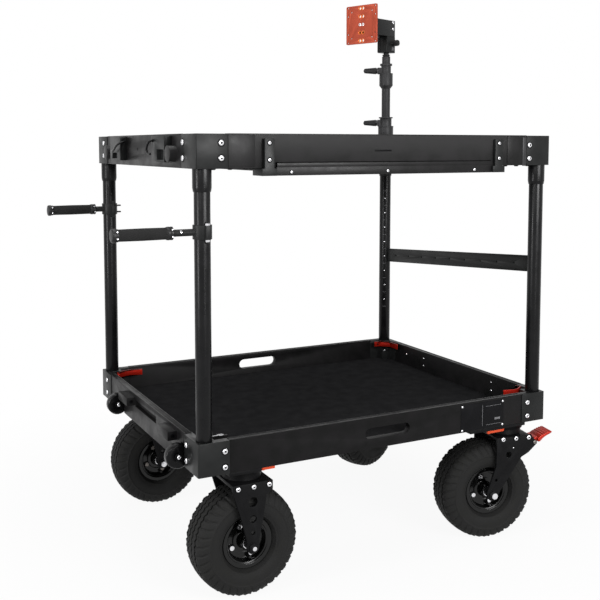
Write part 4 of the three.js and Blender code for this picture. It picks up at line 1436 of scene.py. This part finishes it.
@dataclass
class PostDetails:
    """Polished sleeves on the posts' collars, one post's printed scale and another's spring clip."""

    collar: Line = ((17.4, 500.0), (17.8, 500.0), (19.2, 508.2), (19.2, 545.0), (18.6, 545.0), (18.6, 508.4))
    bead_middle: Flat = (792.5, -20.6)
    bead_size: Flat = (5.5, 1.9)
    bead_rise: Flat = (543.8, 609.8)
    radius: float = 16.5
    facing: float = -125.0
    ticks: int = 9
    low: float = 105.2
    high: float = 455.5
    width: float = 9.0
    tick_half: float = 0.55
    tick_rise: Flat = (-0.15, 0.12)
    dot: Line = ((1.7, -0.2), (1.7, 0.15), (1.5, 0.25))
    clip: Point = (34.0, 17.5, 1.2)
    coil: Flat = (6.5, 4.2)
    coil_away: float = 8.0
    leg: tuple[Point, ...] = ((-15, -1.2, 0), (-9, -0.6, 0))

    def wrap(self, points: Array, z: float) -> Array:
        """Lay a flat mark on the post: sideways becomes an angle, and height becomes radius.

        Args:
            points: The mark's points, with its own height as z.
            z: The mark's height on the post.

        Returns:
            The points on the post.
        """
        angle = math.radians(self.facing) + points[:, 0] / self.radius
        r = self.radius + points[:, 2]
        return np.stack((SPAN[0] + r * np.cos(angle), SPAN[1] + r * np.sin(angle), z + points[:, 1]), -1)

    def collars(self) -> Shape:
        """Turn the polished sleeve over each collar below the upper blocks."""
        sleeve = hollow(self.collar, 0.3, 64)
        return gathered([sleeve.standing((x, y, 0)) for y in (0, SPAN[1]) for x in (0, SPAN[0])])

    def bead(self) -> Shape:
        """Raise the half-round bead on the near right block.

        Its outline is x = x0 + a cos t, y = y0 - b sin t, for t from 0 to a half turn.

        Returns:
            The closed bead.
        """
        (x, y), (reach, proud) = self.bead_middle, self.bead_size
        t = np.linspace(0, math.pi, 13)
        outline = np.stack((x + reach * np.cos(t), y - proud * np.sin(t)), axis=-1)
        return slab(outline, *self.bead_rise, 0.3, 2)

    def scale(self) -> None:
        """Print the ticks on the far right post, and sink the dots between them."""
        across, half = np.linspace(-0.5, 0.5, 9) * self.width, self.tick_half
        lines = [np.stack((x, x * 0 + y), -1) for x, y in ((across, -half), (across[::-1], half))]
        tick = slab(np.concatenate(lines), *self.tick_rise, 0.08, 1)
        dot = lathe(self.dot, 16)
        heights = np.linspace(self.low, self.high, self.ticks)
        for name, mark, places, finish in (("post_scale", tick, heights, INK),
                                           ("post_scale_pins", dot, (heights[1:] + heights[:-1]) / 2, ZINC)):
            marks = [mark.carried(lambda p, z=z: self.wrap(p, z)) for z in places]
            make(name, gathered(marks), "base", finish)

    def build(self) -> None:
        """Make the sleeves, the bead and the scale, and coil the clip as x = c + a cos t, y = b sin t."""
        make("collar_sleeves", self.collars(), "base", TUBE)
        # The bead wears the mast's paler grey: partly painted highlight for the bright strip down the block's
        # edge, and partly the front lamp's real reflection.
        make("block_edge_bead", self.bead(), "base", MAST)
        self.scale()
        turn, (long, wide) = np.linspace(0.3, 2 * math.pi, 25)[::-1], self.coil
        coil = np.stack((self.coil_away + long * np.cos(turn), wide * np.sin(turn), turn * 0), -1)
        path = np.concatenate((self.leg, coil)) + np.array(self.clip)
        make("spring_clip", tube(path, 1.0, UP, 10), "base", ZINC)


@dataclass
class MastDetails:
    """Rings, screws and knob ribs of the mast and its head."""

    rings: tuple[tuple[str, str, tuple[tuple[float, Line], ...]], ...] = (
        ("mast_socket_rings", "mast", (
            (0.6, ((14, 768), (20.3, 771), (20.3, 773.4), (14, 773.4))),
            (0.6, ((14, 803.6), (20.3, 803.6), (20.3, 806.6), (14, 806.6))),
        )),
        ("mast_sleeve_rings", "base", (
            (0.5, ((17, 614.2), (23.4, 614.2), (23.4, 617), (22.7, 618), (17, 618))),
            (0.6, ((13.6, 646), (23.0, 646), (23.0, 649.9), (13.6, 649.9))),
        )),
    )
    arm: tuple[float, float, Flat] = (-9.5, 18.0, (955.6, 936.6))
    arm_screw: float = 4.2
    data_plate: Ends = ((-15.5, 17.7, 873.5), (-4.5, 18.3, 883.5))
    ribs: tuple[Ends, ...] = (((18.6, 9.2, 868.5), (20.8, 17.6, 905.0)),
                              ((18.6, -17.6, 868.5), (20.8, -9.2, 912.0)))
    bush: Line = ((4.0, -4.2), (4.5, -4.2), (4.5, 0.05), (5.3, 0.05), (5.0, 0.35), (4.0, 0.1))
    plate: Flat = (118.0, 940.0)
    plate_screw: float = 4.4
    column: float = 5.6
    rows: Row = (-46, -23, 23, 46)
    away: Point = (-0.858, 0.5135, 0.0)
    knobs: tuple[tuple[str, float], ...] = (("mast_knob_lower", 659.0), ("mast_knob_upper", 814.0))
    wing: Flat = (35.0, 64.0)
    rib_at: Flat = (5.4, 3.6)
    root: Line = ((4, 0), (8.7, 0), (8.2, 6.2), (4, 6.2))
    root_away: float = 25.4

    def build(self) -> None:
        """Make the mast's rings, the screws of the head and the monitor plate, the head's data plate and
        ribs, and the plate's bores.
        """
        for name, body, profiles in self.rings:
            rings = [hollow(profile, edge, 40).standing((*SPAN, 0.0)) for edge, profile in profiles]
            make(name, gathered(rings), body, MAST)
        x, y, heights = self.arm
        for name, out, axis in (("arm_screws", y, FAR), ("arm_screws_back", -y, NEAR)):
            self.heads(name, [(x, out, z) for z in heights], axis, self.arm_screw, "head")
        make("clamp_data_plate", on_head(bar(*self.data_plate, 0.25)), "head", INK)
        make("clamp_ribs", on_head(gathered([bar(*rib, 0.8) for rib in self.ribs])), "head", BLOCK)
        face, middle = self.plate
        bush = lathe(self.bush, 32, looped=True)
        bushes = [bush.standing((face, y, middle + z), RIGHT, UP) for y in (-self.column, self.column)
                  for z in self.rows]
        # The bores wear a bright orange: painted highlight on the lit walls of the countersinks.
        make("plate_bores", on_head(gathered(bushes)), "monitor_mount", DYE)
        screws = [(face, y, middle) for y in (-self.column, self.column)]
        self.heads("plate_screws", screws, RIGHT, self.plate_screw, "monitor_mount", Head.SUNK)
        self.knob_ribs()

    def heads(self, name: str, spots: Sequence[Point], axis: Point, radius: float, body: str,
              kind: Head = Head.BUTTON) -> None:
        """Set bright screws without rings in the head's own frame, with a socket's side upwards."""
        ScrewSet(name, spots, axis, radius, kind, body, 0, side=UP, place=on_head).build()

    def knob_ribs(self) -> None:
        """Lay two ribs along both faces of each wing knob, and a thick root before its shank."""
        away = np.array(self.away)
        side = np.array((-away[1], away[0], 0.0))
        post = np.array((*SPAN, 0.0))
        (out, high), reach = self.rib_at, np.linspace(*self.wing, 6)[:, None]
        for name, z in self.knobs:
            ribs = [tube(reach * away + face * side + np.array((0, 0, z + rise)) + post, 1.1, UP, 10)
                    for face in (-out, out) for rise in (-high, high)]
            at = post + self.root_away * away + np.array((0, 0, z))
            ribs.append(hollow(self.root, 0.6, 32).standing(at, away, UP))
            make(f"{name}_ribs", gathered(ribs), f"{name}_body", PLASTIC)


@dataclass
class HeadKnob:
    """Fluted rim round the head clamp's thumb knob."""

    at: Point = (-8.0, 24.4, 895.0)
    radius: float = 8.7
    length: float = 13.2
    flutes: int = 16
    flute_depth: float = 0.35

    def build(self) -> None:
        """Turn the knob's skin with r = R + d cos(n t) at its rim, and close it with a shallow cup."""
        rim, top = self.radius, self.length
        r, h = np.array(((6.0, 0.0), (rim - 0.7, 0.0), (rim, 0.8), (rim, top - 1.2), (rim - 1.0, top),
                         (rim - 2.6, top), (rim - 3.2, top - 0.8), (0.6, top - 0.8))).T[:, :, None]
        wave = self.flute_depth * np.cos(self.flutes * around(self.flutes * 6)[0])
        skinned = revolved(r + wave * (r > rim - 1.5), h)
        make("head_knob_skin", on_head(skinned.standing(self.at, FAR)), "head", PLASTIC)


# ---------------- studio


@dataclass
class Studio:
    """A white floor and soft lamps, with the camera at the photograph's viewing angle."""

    eye: Point = (-656.7, -1700.3, 589.1)
    pitch: float = 85.44
    heading: float = -27.18
    lens: float = 55.43
    sensor: float = 36.0
    rise: float = -0.1333
    far_end: float = 100.0
    floor: float = 12.0
    paper: str = "#d0d0d0"
    white: str = "#ffffff"
    middle: Point = (424.0, 333.0, -352.5)
    lit: Point = (424.0, 333.0, 250.0)
    pool: Flat = (0.45, 1.5)
    pool_white: float = 0.93
    ambient: float = 0.35
    lamps: tuple[tuple[str, Point, Flat, float], ...] = (
        ("key_lamp", (-1500, -1500, 1500), (0.7, 0.7), 16.0),
        ("left_lamp", (-2000, 100, 1600), (0.9, 0.9), 9.0),
        ("left_strip", (-2200, -250, 450), (0.4, 1.1), 28.0),
        ("front_lamp", (780, -2100, 980), (1.15, 0.6), 50.0),
        ("front_strip", (350, -2300, 40), (0.14, 0.7), 3.5),
        ("top_lamp", (200, 200, 2700), (2.0, 2.0), 40.0),
    )

    def build(self) -> None:
        """Make the camera, the floor, the lamps and the world."""
        self.camera()
        self.ground()
        for name, at, size, power in self.lamps:
            self.lamp(name, at, size, power)
        self.world()

    def camera(self) -> None:
        """Stand the camera where the photograph was taken from."""
        data = bpy.data.cameras.new("camera")
        data.sensor_width, data.lens, data.shift_y = self.sensor, self.lens, self.rise
        data.clip_end = self.far_end
        made = placed("camera", data)
        made.location = np.array(self.eye) * MM + ORIGIN
        made.rotation_euler = (math.radians(self.pitch), 0, math.radians(self.heading))
        bpy.context.scene.camera = made

    def ground(self) -> None:
        """Lay a wide floor that the camera sees as white, with the cart's soft shadow near it.

        The share of pure white rises from the middle of the cart to the pool's edge, so that the
        shadow fades into the white and no horizon shows.
        """
        side = self.floor
        mesh = bpy.data.meshes.new("floor")
        mesh.from_pydata([(-side, -side, 0), (side, -side, 0), (side, side, 0), (-side, side, 0)], [],
                         [(0, 1, 2, 3)])
        paper = bpy.data.materials.new("white_paper_sweep")
        tree = cleared(paper)
        place = add(tree, "TexCoord").outputs["Object"]
        centre = (np.array(self.middle) * MM + ORIGIN).tolist()
        away = add(tree, "VectorMath", {0: place, 1: centre}, operation="DISTANCE").outputs["Value"]
        white = add(tree, "MapRange", {"Value": away, "From Min": self.pool[0], "From Max": self.pool[1],
                                       "To Min": self.pool_white}, interpolation_type="SMOOTHSTEP")
        share = add(tree, "Math", {0: self.shown(tree), 1: white.outputs[0]}, operation="MULTIPLY")
        lit = add(tree, "BsdfDiffuse", {"Color": linear(self.paper)})
        glow = add(tree, "Emission", {"Color": linear(self.white)})
        mix = add(tree, "MixShader", {0: share.outputs[0], 1: lit.outputs[0], 2: glow.outputs[0]})
        add(tree, "OutputMaterial", {"Surface": mix.outputs[0]})
        mesh.materials.append(paper)
        placed("floor", mesh)

    def lamp(self, name: str, at: Point, size: Flat, power: float) -> None:
        """Hang a soft lamp that faces the middle of the cart.

        Args:
            name: The lamp's name.
            at: Its place.
            size: Its width and height in metres.
            power: Its power in watts.
        """
        data = bpy.data.lights.new(name, "AREA")
        data.shape, data.energy = "RECTANGLE", power
        data.size, data.size_y = size
        made = placed(name, data)
        made.location = np.array(at) * MM + ORIGIN
        towards = Vector((np.array(self.lit) - np.array(at)).tolist())
        made.rotation_euler = towards.to_track_quat("-Z", "Y").to_euler()

    def shown(self, tree: Tree) -> Socket:
        """Tell the places that the eye sees, straight or in gloss or glass, from those that only light.

        Args:
            tree: The node tree to add to.

        Returns:
            The socket that is 1 where the eye sees the place.
        """
        path = add(tree, "LightPath").outputs
        eye = add(tree, "Math", {0: path["Is Camera Ray"], 1: path["Is Glossy Ray"]}, operation="MAXIMUM")
        both = {0: eye.outputs[0], 1: path["Is Transmission Ray"]}
        return add(tree, "Math", both, operation="MAXIMUM").outputs[0]

    def world(self) -> None:
        """Fill the world with white for the eye and in gloss, and with a softer light on the cart."""
        made = bpy.data.worlds.new("studio")
        bpy.context.scene.world = made
        tree = cleared(made)
        strength = add(tree, "MapRange", {"Value": self.shown(tree), "To Min": self.ambient})
        sky = add(tree, "Background", {"Color": linear(self.white), "Strength": strength.outputs[0]})
        add(tree, "OutputWorld", {"Surface": sky.outputs[0]})


def main() -> None:
    """Build the studio and the cart."""
    logging.basicConfig(level=logging.INFO, format="%(message)s")
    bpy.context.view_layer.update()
    bpy.context.scene.view_settings.view_transform = "Standard"
    assemblies = (
        Studio(), PackedSolids(), Wheels(Tyre(), Rim()), Forks(), Pedals(), FarLockLevers(), CornerAngles(),
        PushHandle("near", 0.0, 421.0, 62.6), PushHandle("far", 666.0, 427.0, 38.5), ClampHardware(), Hooks(),
        RollerCentres(), TrayTrim(), CornerScrews(), ShelfTrim(), PostDetails(), MastDetails(), HeadKnob(),
    )
    for assembly in assemblies:
        assembly.build()


if __name__ == "__main__":
    main()
